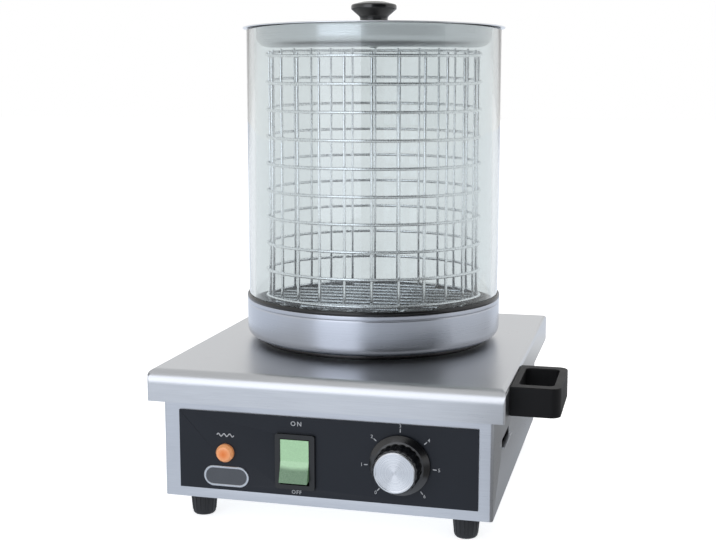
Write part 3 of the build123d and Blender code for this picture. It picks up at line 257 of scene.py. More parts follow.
def cast_metal(name, tints):
    """Sand-cast aluminium: dull and grainy, with the sand's 0.3 mm grain drawn 0.9 mm to show."""
    material, tree, shader = shader_of(name, tints[0], Metallic=1.0)
    sand = grains(tree, 0.9, detail=4.0)
    surface(tree, shader, sand, (0.45, 0.65), depth=0.05, tints=tints)
    return material


def moulded(name, tints, roughness, size=0.5, depth=0.012, **values):
    """Moulded plastic or rubber: an even skin with the fine spark texture of its mould.

    The real texture is about 0.1 mm fine; its size is larger here so that it shows.
    """
    material, tree, shader = shader_of(name, tints[0], **values)
    clouds = grains(tree, 18.0, detail=3.0)
    skin = add(tree, "ShaderNodeMix", {0: 0.35, 2: grains(tree, size), 3: clouds})
    surface(tree, shader, skin, roughness, depth, tints)
    return material


def lit_plastic(name, tints, centre, core, reach, glow):
    """Tinted polycarbonate with a small lamp behind it, which glows.

    Its first tint fills a ball of a core radius about a centre; it fades to the second by the reach.
    This fade is painted light, not the lamp's: a painted highlight toward the lens's rim, and painted
    shade over the rocker's lower part.
    """
    material, tree, shader = shader_of(name, tints[0], Coat_Weight=0.4, Coat_Roughness=0.06)
    place = add(tree, "ShaderNodeTexCoord")
    # Painted light: the tints fade with the distance from a centre, not with the lamp.
    away = add(
        tree, "ShaderNodeVectorMath", {0: place.outputs["Object"], 1: centre * MM}, operation="DISTANCE"
    )
    fade = add(
        tree,
        "ShaderNodeMapRange",
        {
            "Value": away.outputs["Value"],
            "From Min": core * MM,
            "From Max": reach * MM,
            "To Min": LOW_GRAIN,
            "To Max": HIGH_GRAIN,
        },
        interpolation_type="SMOOTHSTEP",
    )
    skin = add(tree, "ShaderNodeMix", {0: 0.12, 2: fade, 3: grains(tree, 0.8)})
    surface(tree, shader, skin, (0.16, 0.22), tints=tints)
    shader.inputs["Emission Color"].default_value = linear(tints[0])
    shader.inputs["Emission Strength"].default_value = glow
    return material


def borosilicate(name):
    """Drawn borosilicate tube: clear with a faint grey-green body; lamp light passes through it."""
    body = "E6EBEC"
    material, tree, shader = shader_of(name, body, Roughness=0.0, IOR=1.474, Transmission_Weight=1.0)
    ripples = grains(tree, 14.0, (1, 1, 12), 1.0)
    bump = add(tree, "ShaderNodeBump", {"Height": ripples, "Strength": 1.0, "Distance": 0.02 * MM})
    tree.links.new(bump.outputs[0], shader.inputs["Normal"])
    path = add(tree, "ShaderNodeLightPath")
    passing = add(tree, "ShaderNodeBsdfTransparent", {"Color": linear(body)})
    mix = add(
        tree,
        "ShaderNodeMixShader",
        {0: path.outputs["Is Shadow Ray"], 1: shader.outputs[0], 2: passing.outputs[0]},
    )
    tree.links.new(mix.outputs[0], tree.nodes["Material Output"].inputs["Surface"])
    return material


STACK_CENTRE = Vector((PAN_MIDDLE.x, PAN_MIDDLE.y, 0))
COVER_STEEL = brushed_sheet("cover_brushed_stainless", ("B9BBBE", "C4C6C9"))
HOUSING_STEEL = brushed_sheet("housing_brushed_stainless", ("B4B7BC", "C0C3C8"))
PAN_STEEL = spun_sheet("pan_spun_stainless", ("B0B4BC", "BBBFC7"), STACK_CENTRE)
LID_STEEL = spun_sheet("lid_spun_stainless", ("D2D4D6", "DEE0E2"), STACK_CENTRE)
# The tray's tints are far darker than stainless: painted shade, for it lies deep in the pan under the
# glass.
SHADED_TRAY_STEEL = spun_sheet("tray_stainless_painted_shade", ("595C5F", "6E7174"), STACK_CENTRE, (0.22, 0.32))
# The basket's wire comes in a lit and a shaded copy: the hoops, stays and feet are tinted lighter than
# the steel, a painted sheen, and the floor's wires darker, painted shade.
LIT_WIRE_STEEL = drawn_wire("basket_wire_painted_sheen", ("F0F1F2", "F9F9FA"))
SHADED_FLOOR_WIRE_STEEL = drawn_wire("basket_floor_wire_painted_shade", ("C0C3C6", "D2D4D6"))
GLASS = borosilicate("cylinder_borosilicate")
SEAL_RUBBER = moulded("seal_black_silicone", ("0B0B0C", "161617"), (0.2, 0.3), 0.6, 0.006)
FOOT_RUBBER = moulded("foot_black_rubber", ("0E0F12", "1A1B1F"), (0.5, 0.66), 0.8, 0.03)
HANDLE_PLASTIC = moulded(
    "handle_black_phenolic", ("0B0B0D", "131315"), (0.46, 0.6), 0.7, 0.02, Specular_IOR_Level=0.2
)
KNOB_PLASTIC = moulded(
    "knob_black_phenolic", ("08080A", "101114"), (0.2, 0.28), 0.5, 0.006, Specular_IOR_Level=0.7
)
SWITCH_PLASTIC = moulded("switch_black_nylon", ("0C0E0F", "17191C"), (0.3, 0.4), 0.5, 0.01)
GLAND_PLASTIC = moulded("gland_black_nylon", ("131416", "1D1E21"), (0.42, 0.55), 0.6, 0.012)
CASE_PLASTIC = moulded("thermostat_brown_bakelite", ("2A1C14", "382619"), (0.4, 0.55))
LAMP_SHELL = moulded("lamp_white_nylon", ("C9C6BC", "D6D3CA"), (0.4, 0.5))
CERAMIC = moulded("block_glazed_steatite", ("D9D4C8", "E5E1D6"), (0.18, 0.3), 2.0, 0.01)
FASCIA_PAINT = moulded(
    "fascia_screened_enamel", ("151A22", "1A1F28"), (0.4, 0.5), 0.35, 0.004, Specular_IOR_Level=0.3
)
PRINT = moulded("panel_grey_ink", ("B9BCC0", "C9CCD0"), (0.45, 0.6), 0.3, 0.002)
# The lens pales from its deep orange middle to a light rim: a painted highlight around the rim; its
# glow is the lamp's.
ORANGE_PAINTED_HIGHLIGHT = lit_plastic(
    "lamp_orange_polycarbonate_painted_highlight",
    ("E2731A", "F9C08C"),
    Vector((middle("lamp_lens").x, LENS_LOW.y, middle("lamp_lens").z)),
    core=0.0,
    reach=7.0,
    glow=0.25,
)
# The rocker is light green above and painted shade, dark green, over its lower part, split along an
# almost straight line, so the fade's ball is large and its centre lies far above the rocker.
ROCKER_LOW, ROCKER_HIGH = box("rocker")
FADE_CENTRE_ABOVE = 60.0
GREEN_PAINTED_SHADE = lit_plastic(
    "rocker_green_polycarbonate_painted_shade",
    ("B4E0B2", "0C4F1C"),
    Vector((middle("rocker").x, ROCKER_LOW.y, ROCKER_HIGH.z + FADE_CENTRE_ABOVE)),
    core=FADE_CENTRE_ABOVE + 18.5,
    reach=FADE_CENTRE_ABOVE + 22.5,
    glow=0.12,
)
CAP_ALUMINIUM = turned_aluminium(
    "cap_turned_aluminium", ("BEC0C3", "D8DADD"), Vector((KNOB_MIDDLE.x, KNOB_LOW.y, KNOB_MIDDLE.z))
)
PLATE_ALUMINIUM = plated("plate_satin_aluminium", ("A9ADB3", "C3C6CA"), (0.3, 0.4), 0.5)
PLATE_ENAMEL = moulded("plate_grey_enamel", ("4A4E54", "565A60"), (0.3, 0.4), 0.4, 0.004)
ZINC = plated("zinc_plated_steel", ("A9ADB0", "BFC2C2"))
BRASS = plated("plain_brass", ("B08D4A", "C7A45C"), (0.25, 0.4))
COPPER = plated("drawn_copper", ("B26A45", "C98660"), (0.25, 0.4))
SHEATH = plated("incoloy_sheath", ("4F4B46", "6A655F"), (0.4, 0.6), 3.0)
CAST_ALLOY = cast_metal("heater_cast_aluminium", ("9B9C9D", "B2B3B4"))


# ---- Making pieces ----------------------------------------------------------------------------
def fit(piece, body, slot, *nodes):
    """A finished piece rides on a body and stands for CAD nodes, which it hides; its slot is not used.
    """
    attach(piece, body)
    if nodes:
        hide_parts(*nodes)
    return piece


def shown(name, mesh, material, place=None, sharp=32.0):
    """An object in the scene for a mesh, put in place, with its faces outward and its edges sharp."""
    mesh.name = name
    if place is not None:
        mesh.transform(place)
    form = bmesh.new()
    form.from_mesh(mesh)
    bmesh.ops.recalc_face_normals(form, faces=form.faces)
    form.to_mesh(mesh)
    form.free()
    mesh.materials.clear()
    mesh.materials.append(material)
    mesh.shade_smooth()
    mesh.set_sharp_from_angle(angle=math.radians(sharp))
    piece = bpy.data.objects.new(name, mesh)
    bpy.context.scene.collection.objects.link(piece)
    return piece


def eased(piece, width, segments=2, angle=32.0):
    """Rounds a piece's sharp edges over a width in mm."""
    bevel = piece.modifiers.new("eased_edges", "BEVEL")
    bevel.width = width * MM
    bevel.segments = segments
    bevel.limit_method = "ANGLE"
    bevel.angle_limit = math.radians(angle)
    bevel.harden_normals = True
    bevel.miter_outer = "MITER_ARC"
    return piece


def rounded(corners, steps=6, closed=True):
    """An outline's points from its (radius, height, rounding) corners; each rounding becomes an arc."""
    points = []
    last = len(corners) - 1
    for index, (radius, height, rounding) in enumerate(corners):
        here = Vector((radius, 0, height))
        if not rounding or (not closed and index in (0, last)):
            points.append(here)
            continue
        before = (Vector((corners[index - 1][0], 0, corners[index - 1][1])) - here).normalized()
        following = corners[(index + 1) % len(corners)]
        after = (Vector((following[0], 0, following[1])) - here).normalized()
        half = before.angle(after) / 2
        start = before * (rounding / math.tan(half))
        end = after * (rounding / math.tan(half))
        centre = (before + after).normalized() * (rounding / math.sin(half))
        for step in range(steps + 1):
            spoke = (start - centre).normalized().slerp((end - centre).normalized(), step / steps)
            points.append(here + centre + spoke * rounding)
    return points


def turned_mesh(outline, sides=96, closed=True, wave=None):
    """The mesh of an outline turned about Z, with a UV map whose U goes around and V along the outline.

    wave gives a radius's share at an angle and a height, for flutes.
    """
    form = bmesh.new()
    around = form.loops.layers.uv.new("around")
    columns = []
    for side in range(sides):
        angle = 2 * math.pi * side / sides
        column = []
        for point in outline:
            if point.x < 1e-6:
                column.append(None)
                continue
            radius = point.x * (wave(angle, point) if wave else 1.0)
            column.append(form.verts.new((radius * math.cos(angle), radius * math.sin(angle), point.z)))
        columns.append(column)
    poles = {i: form.verts.new((0, 0, p.z)) for i, p in enumerate(outline) if p.x < 1e-6}
    lengths = [0.0]
    for first, second in zip(outline, outline[1:]):
        lengths.append(lengths[-1] + (second - first).length)
    lengths.append(lengths[-1] + (outline[0] - outline[-1]).length)
    rows = range(len(outline) if closed else len(outline) - 1)
    for side in range(sides):
        here, there = columns[side], columns[(side + 1) % sides]
        for row in rows:
            upper = (row + 1) % len(outline)
            corners = [
                (here, row, side),
                (there, row, side + 1),
                (there, upper, side + 1),
                (here, upper, side),
            ]
            verts, places = [], []
            for column, level, turn in corners:
                vert = column[level] or poles[level]
                if vert not in verts:
                    verts.append(vert)
                    v = lengths[row + 1] if level == upper else lengths[row]
                    places.append((turn / sides, v / 100))
            if len(verts) < 3:
                continue
            face = form.faces.new(verts)
            for loop, (u, v) in zip(face.loops, places):
                loop[around].uv = (u, v)
    mesh = bpy.data.meshes.new("turned")
    form.to_mesh(mesh)
    form.free()
    return mesh


def turned(name, corners, material, place, sides=96, steps=6, sharp=32.0, closed=False, wave=None):
    """A piece turned about its own Z from its outline's corners in mm."""
    outline = rounded(corners, steps, closed)
    return shown(name, turned_mesh(outline, sides, closed, wave), material, place, sharp)


def axial_mesh(corners, sides, steps):
    """The mesh of an outline that starts and ends on the Z axis, turned about it; in mm."""
    return turned_mesh(rounded(corners, steps, closed=False), sides, closed=False)


def rod_mesh(radius, low, high, sides, steps, low_round=0, high_round=0):
    """An upright rod about Z between two heights, with a rounding at each end; in mm."""
    corners = [(0, low, 0), (radius, low, low_round), (radius, high, high_round), (0, high, 0)]
    return axial_mesh(corners, sides, steps)


def rounded_rectangle(width, depth, radius, steps=5):
    """The points of a rounded rectangle about the origin, anticlockwise."""
    points = []
    for turn, (sx, sy) in enumerate([(1, 1), (-1, 1), (-1, -1), (1, -1)]):
        for step in range(steps + 1):
            angle = (turn + step / steps) * QUARTER
            x = sx * (width / 2 - radius) + radius * math.cos(angle)
            y = sy * (depth / 2 - radius) + radius * math.sin(angle)
            points.append(Vector((x, y)))
    return points


def stacked_mesh(loops, cap_first=True, cap_last=True):
    """A mesh through loops of points that each have the same number, with its ends closed if asked."""
    form = bmesh.new()
    rows = [[form.verts.new(point) for point in loop] for loop in loops]
    for lower, upper in zip(rows, rows[1:]):
        for i in range(len(lower)):
            j = (i + 1) % len(lower)
            form.faces.new((lower[i], lower[j], upper[j], upper[i]))
    if cap_first:
        form.faces.new(rows[0])
    if cap_last:
        form.faces.new(rows[-1])
    mesh = bpy.data.meshes.new("stacked")
    form.to_mesh(mesh)
    form.free()
    return mesh


def merged_copy(node):
    """A mesh with a CAD node's shape, its triangles joined and its flat faces whole."""
    form = bmesh.new()
    form.from_mesh(NODES[node].data)
    bmesh.ops.remove_doubles(form, verts=form.verts, dist=1e-6)
    bmesh.ops.dissolve_limit(form, angle_limit=math.radians(1), verts=form.verts, edges=form.edges)
    mesh = bpy.data.meshes.new(node)
    form.to_mesh(mesh)
    form.free()
    return mesh


def softened(name, node, material, body, slot, width, segments=2):
    """A piece on a body that keeps a CAD node's shape with its edges eased over a width in mm."""
    return fit(eased(shown(name, merged_copy(node), material), width, segments), body, slot, node)


def evaluated(piece):
    """The plain mesh of a piece with its modifiers applied."""
    graph = bpy.context.evaluated_depsgraph_get()
    return bpy.data.meshes.new_from_object(piece.evaluated_get(graph))


def discard(piece):
    """Takes an object out of the file."""
    bpy.data.objects.remove(piece, do_unlink=True)


def carved(piece, cutter):
    """A piece with a cutter's shape taken out of it; the cutter goes."""
    cut = piece.modifiers.new("cut", "BOOLEAN")
    cut.operation = "DIFFERENCE"
    cut.solver = "EXACT"
    cut.object = cutter
    mesh = evaluated(piece)
    piece.modifiers.clear()
    piece.data = mesh
    discard(cutter)
    return piece


def joined(meshes):
    """One mesh from several."""
    form = bmesh.new()
    for mesh in meshes:
        form.from_mesh(mesh)
    result = bpy.data.meshes.new("joined")
    form.to_mesh(result)
    form.free()
    return result


# ---- Geometry Nodes trees ---------------------------------------------------------------------
def new_tree(name, **sizes):
    """A Geometry Nodes tree with named inputs of given kinds, and its input sockets by name."""
    tree = bpy.data.node_groups.new(name, "GeometryNodeTree")
    tree.interface.new_socket("Geometry", in_out="INPUT", socket_type="NodeSocketGeometry")
    for label, kind in sizes.items():
        tree.interface.new_socket(label, in_out="INPUT", socket_type="NodeSocket" + kind)
    tree.interface.new_socket("Finish", in_out="INPUT", socket_type="NodeSocketMaterial")
    tree.interface.new_socket("Geometry", in_out="OUTPUT", socket_type="NodeSocketGeometry")
    source = add(tree, "NodeGroupInput")
    return tree, {socket.name: socket for socket in source.outputs if socket.name}


def finish_tree(tree, given, geometry):
    """Ends a tree: its instances become a mesh and take the finish."""
    real = add(tree, "GeometryNodeRealizeInstances", {0: geometry})
    painted = add(tree, "GeometryNodeSetMaterial", {"Geometry": real, "Material": given["Finish"]})
    add(tree, "NodeGroupOutput", {"Geometry": painted})
    return tree


def circle_tree():
    """Copies of the part stand on a circle, each turned to face out from its middle."""
    tree, given = new_tree(
        "parts_on_a_circle", Count="Int", Radius="Float", First="Float", Step="Float"
    )
    index = add(tree, "GeometryNodeInputIndex")
    steps = add(tree, "ShaderNodeMath", {0: index, 1: given["Step"]}, operation="MULTIPLY")
    angle = add(tree, "ShaderNodeMath", {0: given["First"], 1: steps}, operation="ADD")
    cosine = add(tree, "ShaderNodeMath", {0: angle}, operation="COSINE")
    sine = add(tree, "ShaderNodeMath", {0: angle}, operation="SINE")
    x = add(tree, "ShaderNodeMath", {0: given["Radius"], 1: cosine}, operation="MULTIPLY")
    y = add(tree, "ShaderNodeMath", {0: given["Radius"], 1: sine}, operation="MULTIPLY")
    place = add(tree, "ShaderNodeCombineXYZ", {"X": x, "Y": y})
    turn = add(tree, "ShaderNodeCombineXYZ", {"Z": angle})
    row = add(tree, "GeometryNodeMeshLine", {"Count": given["Count"], "Offset": (0, 0, 0)})
    spread = add(tree, "GeometryNodeSetPosition", {"Geometry": row, "Position": place})
    copies = add(
        tree,
        "GeometryNodeInstanceOnPoints",
        {"Points": spread, "Instance": given["Geometry"], "Rotation": turn},
    )
    return finish_tree(tree, given, copies)


def grid_tree():
    """Copies of the part stand on a rectangular grid about the middle."""
    tree, given = new_tree("parts_on_a_grid", Columns="Int", Rows="Int", Width="Float", Depth="Float")
    grid = add(
        tree,
        "GeometryNodeMeshGrid",
        {
            "Size X": given["Width"],
            "Size Y": given["Depth"],
            "Vertices X": given["Columns"],
            "Vertices Y": given["Rows"],
        },
    )
    copies = add(tree, "GeometryNodeInstanceOnPoints", {"Points": grid, "Instance": given["Geometry"]})
    return finish_tree(tree, given, copies)


def hoop_tree():
    """Wire hoops one above another."""
    tree, given = new_tree(
        "wire_hoops", Count="Int", Pitch="Float", Lowest="Float", Radius="Float", Wire="Float"
    )
    path = add(tree, "GeometryNodeCurvePrimitiveCircle", {"Resolution": 128, "Radius": given["Radius"]})
    section = add(tree, "GeometryNodeCurvePrimitiveCircle", {"Resolution": 12, "Radius": given["Wire"]})
    hoop = add(tree, "GeometryNodeCurveToMesh", {"Curve": path, "Profile Curve": section})
    lowest = add(tree, "ShaderNodeCombineXYZ", {"Z": given["Lowest"]})
    pitch = add(tree, "ShaderNodeCombineXYZ", {"Z": given["Pitch"]})
    row = add(
        tree,
        "GeometryNodeMeshLine",
        {"Count": given["Count"], "Start Location": lowest, "Offset": pitch},
    )
    copies = add(tree, "GeometryNodeInstanceOnPoints", {"Points": row, "Instance": hoop})
    return finish_tree(tree, given, copies)


def chord_tree():
    """Copies of a unit-long part lie side by side, each as long as the circle is where it lies."""
    tree, given = new_tree(
        "wires_across_a_circle", Count="Int", Pitch="Float", Radius="Float", Height="Float"
    )
    radius = given["Radius"]
    index = add(tree, "GeometryNodeInputIndex")
    last = add(tree, "ShaderNodeMath", {0: given["Count"], 1: 1.0}, operation="SUBTRACT")
    half = add(tree, "ShaderNodeMath", {0: last, 1: 2.0}, operation="DIVIDE")
    rank = add(tree, "ShaderNodeMath", {0: index, 1: half}, operation="SUBTRACT")
    across = add(tree, "ShaderNodeMath", {0: given["Pitch"], 1: rank}, operation="MULTIPLY")
    across_squared = add(tree, "ShaderNodeMath", {0: across, 1: across}, operation="MULTIPLY")
    radius_squared = add(tree, "ShaderNodeMath", {0: radius, 1: radius}, operation="MULTIPLY")
    rest = add(tree, "ShaderNodeMath", {0: radius_squared, 1: across_squared}, operation="SUBTRACT")
    half_chord = add(tree, "ShaderNodeMath", {0: rest}, operation="SQRT")
    chord = add(tree, "ShaderNodeMath", {0: 2.0, 1: half_chord}, operation="MULTIPLY")
    place = add(tree, "ShaderNodeCombineXYZ", {"Y": across, "Z": given["Height"]})
    size = add(tree, "ShaderNodeCombineXYZ", {"X": chord, "Y": 1.0, "Z": 1.0})
    row = add(tree, "GeometryNodeMeshLine", {"Count": given["Count"], "Offset": (0, 0, 0)})
    spread = add(tree, "GeometryNodeSetPosition", {"Geometry": row, "Position": place})
    copies = add(
        tree,
        "GeometryNodeInstanceOnPoints",
        {"Points": spread, "Instance": given["Geometry"], "Scale": size},
    )
    return finish_tree(tree, given, copies)


CIRCLE = circle_tree()
GRID = grid_tree()
HOOPS = hoop_tree()
CHORDS = chord_tree()


def grown(tree, material, part=None, **sizes):
    """The plain mesh that a tree makes from a part and its sizes in mm."""
    holder = bpy.data.objects.new("holder", part or bpy.data.meshes.new("empty"))
    bpy.context.scene.collection.objects.link(holder)
    modifier = holder.modifiers.new("tree", "NODES")
    modifier.node_group = tree
    for item in tree.interface.items_tree:
        if item.in_out == "INPUT" and item.name in sizes:
            modifier[item.identifier] = sizes[item.name]
        elif item.in_out == "INPUT" and item.name == "Finish":
            modifier[item.identifier] = material
    mesh = evaluated(holder)
    discard(holder)
    return mesh


# ---- Camera, light and floor ------------------------------------------------------------------
CAMERA_AZIMUTH = 14.23
CAMERA_TILT = 8.56
camera_data = bpy.data.cameras.new("camera")
camera_data.lens = 59.66
camera_data.sensor_width = 36.0
camera = bpy.data.objects.new("camera", camera_data)
camera.location = (0.20445, -0.9081, 0.3106)
camera.rotation_euler = (math.radians(90 - CAMERA_TILT), 0, math.radians(CAMERA_AZIMUTH))
bpy.context.scene.collection.objects.link(camera)
bpy.context.scene.camera = camera
bpy.context.scene.view_settings.view_transform = "Standard"


def towards(azimuth, distance, height):
    """A point seen from the object's middle at an azimuth in degrees (0 is the front, 90 the right)."""
    turn = math.radians(azimuth)
    return Vector((math.sin(turn) * distance, -math.cos(turn) * distance, height))


def softbox(name, location, aim_height, width, height, radiance, colour):
    """A rectangular lamp as bright as its radiance that faces a height on the object's axis."""
    lamp = bpy.data.lights.new(name, "AREA")
    lamp.shape = "RECTANGLE"
    lamp.size, lamp.size_y = width, height
    lamp.energy = 4 * width * height * radiance
    lamp.color = linear(colour)[:3]
    piece = bpy.data.objects.new(name, lamp)
    piece.location = location
    facing = Vector((0, 0, aim_height)) - location
    piece.rotation_mode = "QUATERNION"
    piece.rotation_quaternion = facing.to_track_quat("-Z", "Y")
    piece.visible_camera = False
    bpy.context.scene.collection.objects.link(piece)
    return piece


STAND_DISTANCE = 1.6
softbox(
    "key_softbox",
    towards(CAMERA_AZIMUTH - 32.0, STAND_DISTANCE, 0.9),
    aim_height=0.9,
    width=1.16,
    height=1.8,
    radiance=1.0,
    colour="EEF3FF",
)
top_softbox = softbox(
    "top_softbox",
    Vector((-0.1, 0.25, 1.75)),
    aim_height=0.15,
    width=1.3,
    height=1.1,
    radiance=1.3,
    colour="FFFFFF",
)
top_softbox.visible_glossy = False


def stage_surface(name, corners, finish):
    """A flat stage surface through four corners, with the shader that a function adds to its tree."""
    mesh = bpy.data.meshes.new(name)
    mesh.from_pydata(corners, [], [tuple(range(len(corners)))])
    material = bpy.data.materials.new(name)
    material.use_nodes = True
    tree = material.node_tree
    tree.nodes.remove(tree.nodes["Principled BSDF"])
    tree.links.new(finish(tree).outputs[0], tree.nodes["Material Output"].inputs["Surface"])
    mesh.materials.append(material)
    piece = bpy.data.objects.new(name, mesh)
    bpy.context.scene.collection.objects.link(piece)
    return piece


def pale_floor(tree):
    """White to the camera, to metal and to glass; the camera also sees the object's shadow on it."""
    white = (1, 1, 1, 1)
    path = add(tree, "ShaderNodeLightPath")
    diffuse = add(tree, "ShaderNodeBsdfDiffuse", {"Color": linear("E6E6E6")})
    paper = add(tree, "ShaderNodeEmission", {"Color": white, "Strength": 0.72})
    faces = {
        "Is Camera Ray": add(tree, "ShaderNodeAddShader", {0: diffuse, 1: paper}),
        "Is Glossy Ray": add(
            tree, "ShaderNodeEmission", {"Color": linear("EAF1FC"), "Strength": 1.1}
        ),
        "Is Transmission Ray": add(tree, "ShaderNodeEmission", {"Color": white, "Strength": 1.0}),
    }
    floor = diffuse
    for ray, face in faces.items():
        floor = add(tree, "ShaderNodeMixShader", {0: path.outputs[ray], 1: floor, 2: face})
    return floor


def dark_card(tree):
    """Black velvet."""
    return add(tree, "ShaderNodeBsdfDiffuse", {"Color": linear("2A2C30")})


def grey_card(tree):
    """Painted shade: a grey board, seen only in reflections, that stands for the shaded floor to the
    right of the object and behind it, and pales into the floor.
    """
    grey, pale = 0.3, 1.1
    near, right, back = 0.3, 0.7, 0.6
    place = add(tree, "ShaderNodeSeparateXYZ", {0: add(tree, "ShaderNodeTexCoord").outputs["Object"]})
    fades = [
        add(
            tree,
            "ShaderNodeMapRange",
            {
                "Value": place.outputs[axis],
                "From Min": near,
                "From Max": far,
                "To Min": grey,
                "To Max": pale,
            },
            interpolation_type="SMOOTHSTEP",
        )
        for axis, far in (("X", right), ("Y", back))
    ]
    strength = add(tree, "ShaderNodeMath", {0: fades[0], 1: fades[1]}, operation="MAXIMUM")
    return add(tree, "ShaderNodeEmission", {"Color": linear("FAFBFC"), "Strength": strength})


FLOOR_REACH = 12.0
stage_surface(
    "floor",
    [(sx * FLOOR_REACH, sy * FLOOR_REACH, 0) for sx, sy in ((-1, -1), (1, -1), (1, 1), (-1, 1))],
    pale_floor,
)


def card(name, corners, board):
    """A card through four corners, seen only in reflections."""
    piece = stage_surface(name, corners, board)
    piece.visible_camera = False
    piece.visible_diffuse = False
    piece.visible_shadow = False
    return piece


CARD_LEFT, CARD_RIGHT = CAMERA_AZIMUTH - 12, CAMERA_AZIMUTH + 63
CARD_LOW, CARD_HIGH = 0.3, 2.0
card(
    "dark_card_front",
    [
        towards(CARD_LEFT, STAND_DISTANCE, CARD_LOW),
        towards(CARD_RIGHT, STAND_DISTANCE, CARD_LOW),
        towards(CARD_RIGHT, STAND_DISTANCE, CARD_HIGH),
        towards(CARD_LEFT, STAND_DISTANCE, CARD_HIGH),
    ],
    dark_card,
)
# A sheet of painted shade lying on the floor at the right, seen only in reflections.
CARD_WIDTH, CARD_FRONT, CARD_BACK, CARD_LIFT = 0.6, -0.5, 0.6, 0.001
near_side = COVER_HIGH.x * MM
far_side = near_side + CARD_WIDTH
floor_shade_side = card(
    "floor_shade_card_beside",
    [
        (near_side, CARD_FRONT, CARD_LIFT),
        (far_side, CARD_FRONT, CARD_LIFT),
        (far_side, CARD_BACK, CARD_LIFT),
        (near_side, CARD_BACK, CARD_LIFT),
    ],
    grey_card,
)
floor_shade_side.visible_transmission = False

world = bpy.data.worlds.new("studio")
bpy.context.scene.world = world
world.use_nodes = True
sky = world.node_tree
# The sky lights the object at half the strength that it shows, and dims overhead in metal.
LIGHTING_SKY, SHOWN_SKY, OVERHEAD_SKY = 0.5, 1.0, 0.84
path = add(sky, "ShaderNodeLightPath")
clear = {0: path.outputs["Is Camera Ray"], 1: path.outputs["Is Transmission Ray"]}
direct = add(sky, "ShaderNodeMath", clear, operation="MAXIMUM")
strength = add(
    sky, "ShaderNodeMapRange", {"Value": direct, "To Min": LIGHTING_SKY, "To Max": SHOWN_SKY}
)
skyward = add(sky, "ShaderNodeSeparateXYZ", {0: add(sky, "ShaderNodeTexCoord").outputs["Generated"]})
overhead = add(
    sky,
    "ShaderNodeMapRange",
    {
        "Value": skyward.outputs["Z"],
        "From Min": 0.45,
        "From Max": 0.75,
        "To Min": SHOWN_SKY,
        "To Max": OVERHEAD_SKY,
    },
    interpolation_type="SMOOTHSTEP",
)
mirrored_sky = add(
    sky, "ShaderNodeMix", {0: path.outputs["Is Glossy Ray"], 2: strength, 3: overhead}
)
sky.nodes["Background"].inputs["Color"].default_value = (1, 1, 1, 1)
sky.links.new(mirrored_sky.outputs[0], sky.nodes["Background"].inputs["Strength"])

# ---- Sheet-metal base -------------------------------------------------------------------------
SHEET = 1.2
FRONT_BEND = 9.5
SIDE_BEND = 4.0
COVER_CORNER = 1.6
COVER_HOLE = 72.0
HOLD = 0.4


def cover_loop(angle, hold=0.0):
    """The cover's outline with its bends turned through an angle; the front's bend is the larger."""
    centre = (COVER_LOW + COVER_HIGH) / 2
    size = COVER_HIGH - COVER_LOW
    inset_x = SIDE_BEND * (1 - math.cos(angle)) + hold
    inset_y = FRONT_BEND * (1 - math.cos(angle)) + hold
    steps = 4
    ring = rounded_rectangle(size.x - 2 * inset_x, size.y - 2 * inset_y, COVER_CORNER, steps)
    loop = []
    for index, point in enumerate(ring):
        corner, step = divmod(index, steps + 1)
        turn = step / steps * QUARTER
        to_side = math.cos(turn) ** 2 if corner % 2 == 0 else math.sin(turn) ** 2
        bend = FRONT_BEND + (SIDE_BEND - FRONT_BEND) * to_side
        drop = bend * (1 - math.sin(angle))
        loop.append(Vector((centre.x + point.x, centre.y + point.y, COVER_HIGH.z - drop)))
    return loop


def cover_mesh():
    """The outer skin of the folded cover, with the pan's hole in its top."""
    bends = 12
    upper = [cover_loop(QUARTER * step / bends) for step in range(bends + 1)]
    lower = [Vector((point.x, point.y, COVER_LOW.z)) for point in upper[0]]
    held = [Vector((point.x, point.y, point.z - HOLD)) for point in upper[0]]
    loops = [lower, held] + upper + [cover_loop(QUARTER, HOLD)]
    form = bmesh.new()
    form.from_mesh(stacked_mesh(loops, cap_first=False, cap_last=False))
    rim = [e for e in form.edges if e.is_boundary and e.verts[0].co.z > COVER_HIGH.z - HOLD]
    hole = bmesh.ops.create_circle(
        form,
        segments=96,
        radius=COVER_HOLE,
        matrix=Matrix.Translation((PAN_MIDDLE.x, PAN_MIDDLE.y, COVER_HIGH.z)),
    )
    edge = [e for e in form.edges if e.verts[0] in hole["verts"] and e.verts[1] in hole["verts"]]
    bmesh.ops.bridge_loops(form, edges=rim + edge)
    mesh = bpy.data.meshes.new("cover")
    form.to_mesh(mesh)
    form.free()
    return mesh


COVER_SHARP = 40.0
cover_skin = shown("cover_skin", cover_mesh(), COVER_STEEL, IN_PLACE, COVER_SHARP)
sheet = cover_skin.modifiers.new("sheet", "SOLIDIFY")
sheet.thickness = SHEET * MM
sheet.offset = -1.0
sheet.use_even_offset = True
cover_sheet = evaluated(cover_skin)
discard(cover_skin)
folded_cover = shown("folded_cover", cover_sheet, COVER_STEEL, sharp=COVER_SHARP)
fit(folded_cover, "base", "cover_steel", "top_cover")

softened("folded_housing", "base_housing", HOUSING_STEEL, "base", "housing_steel", 0.35)
softened("bottom_panel", "bottom_plate", ZINC, "base", "plate_steel", 0.25)


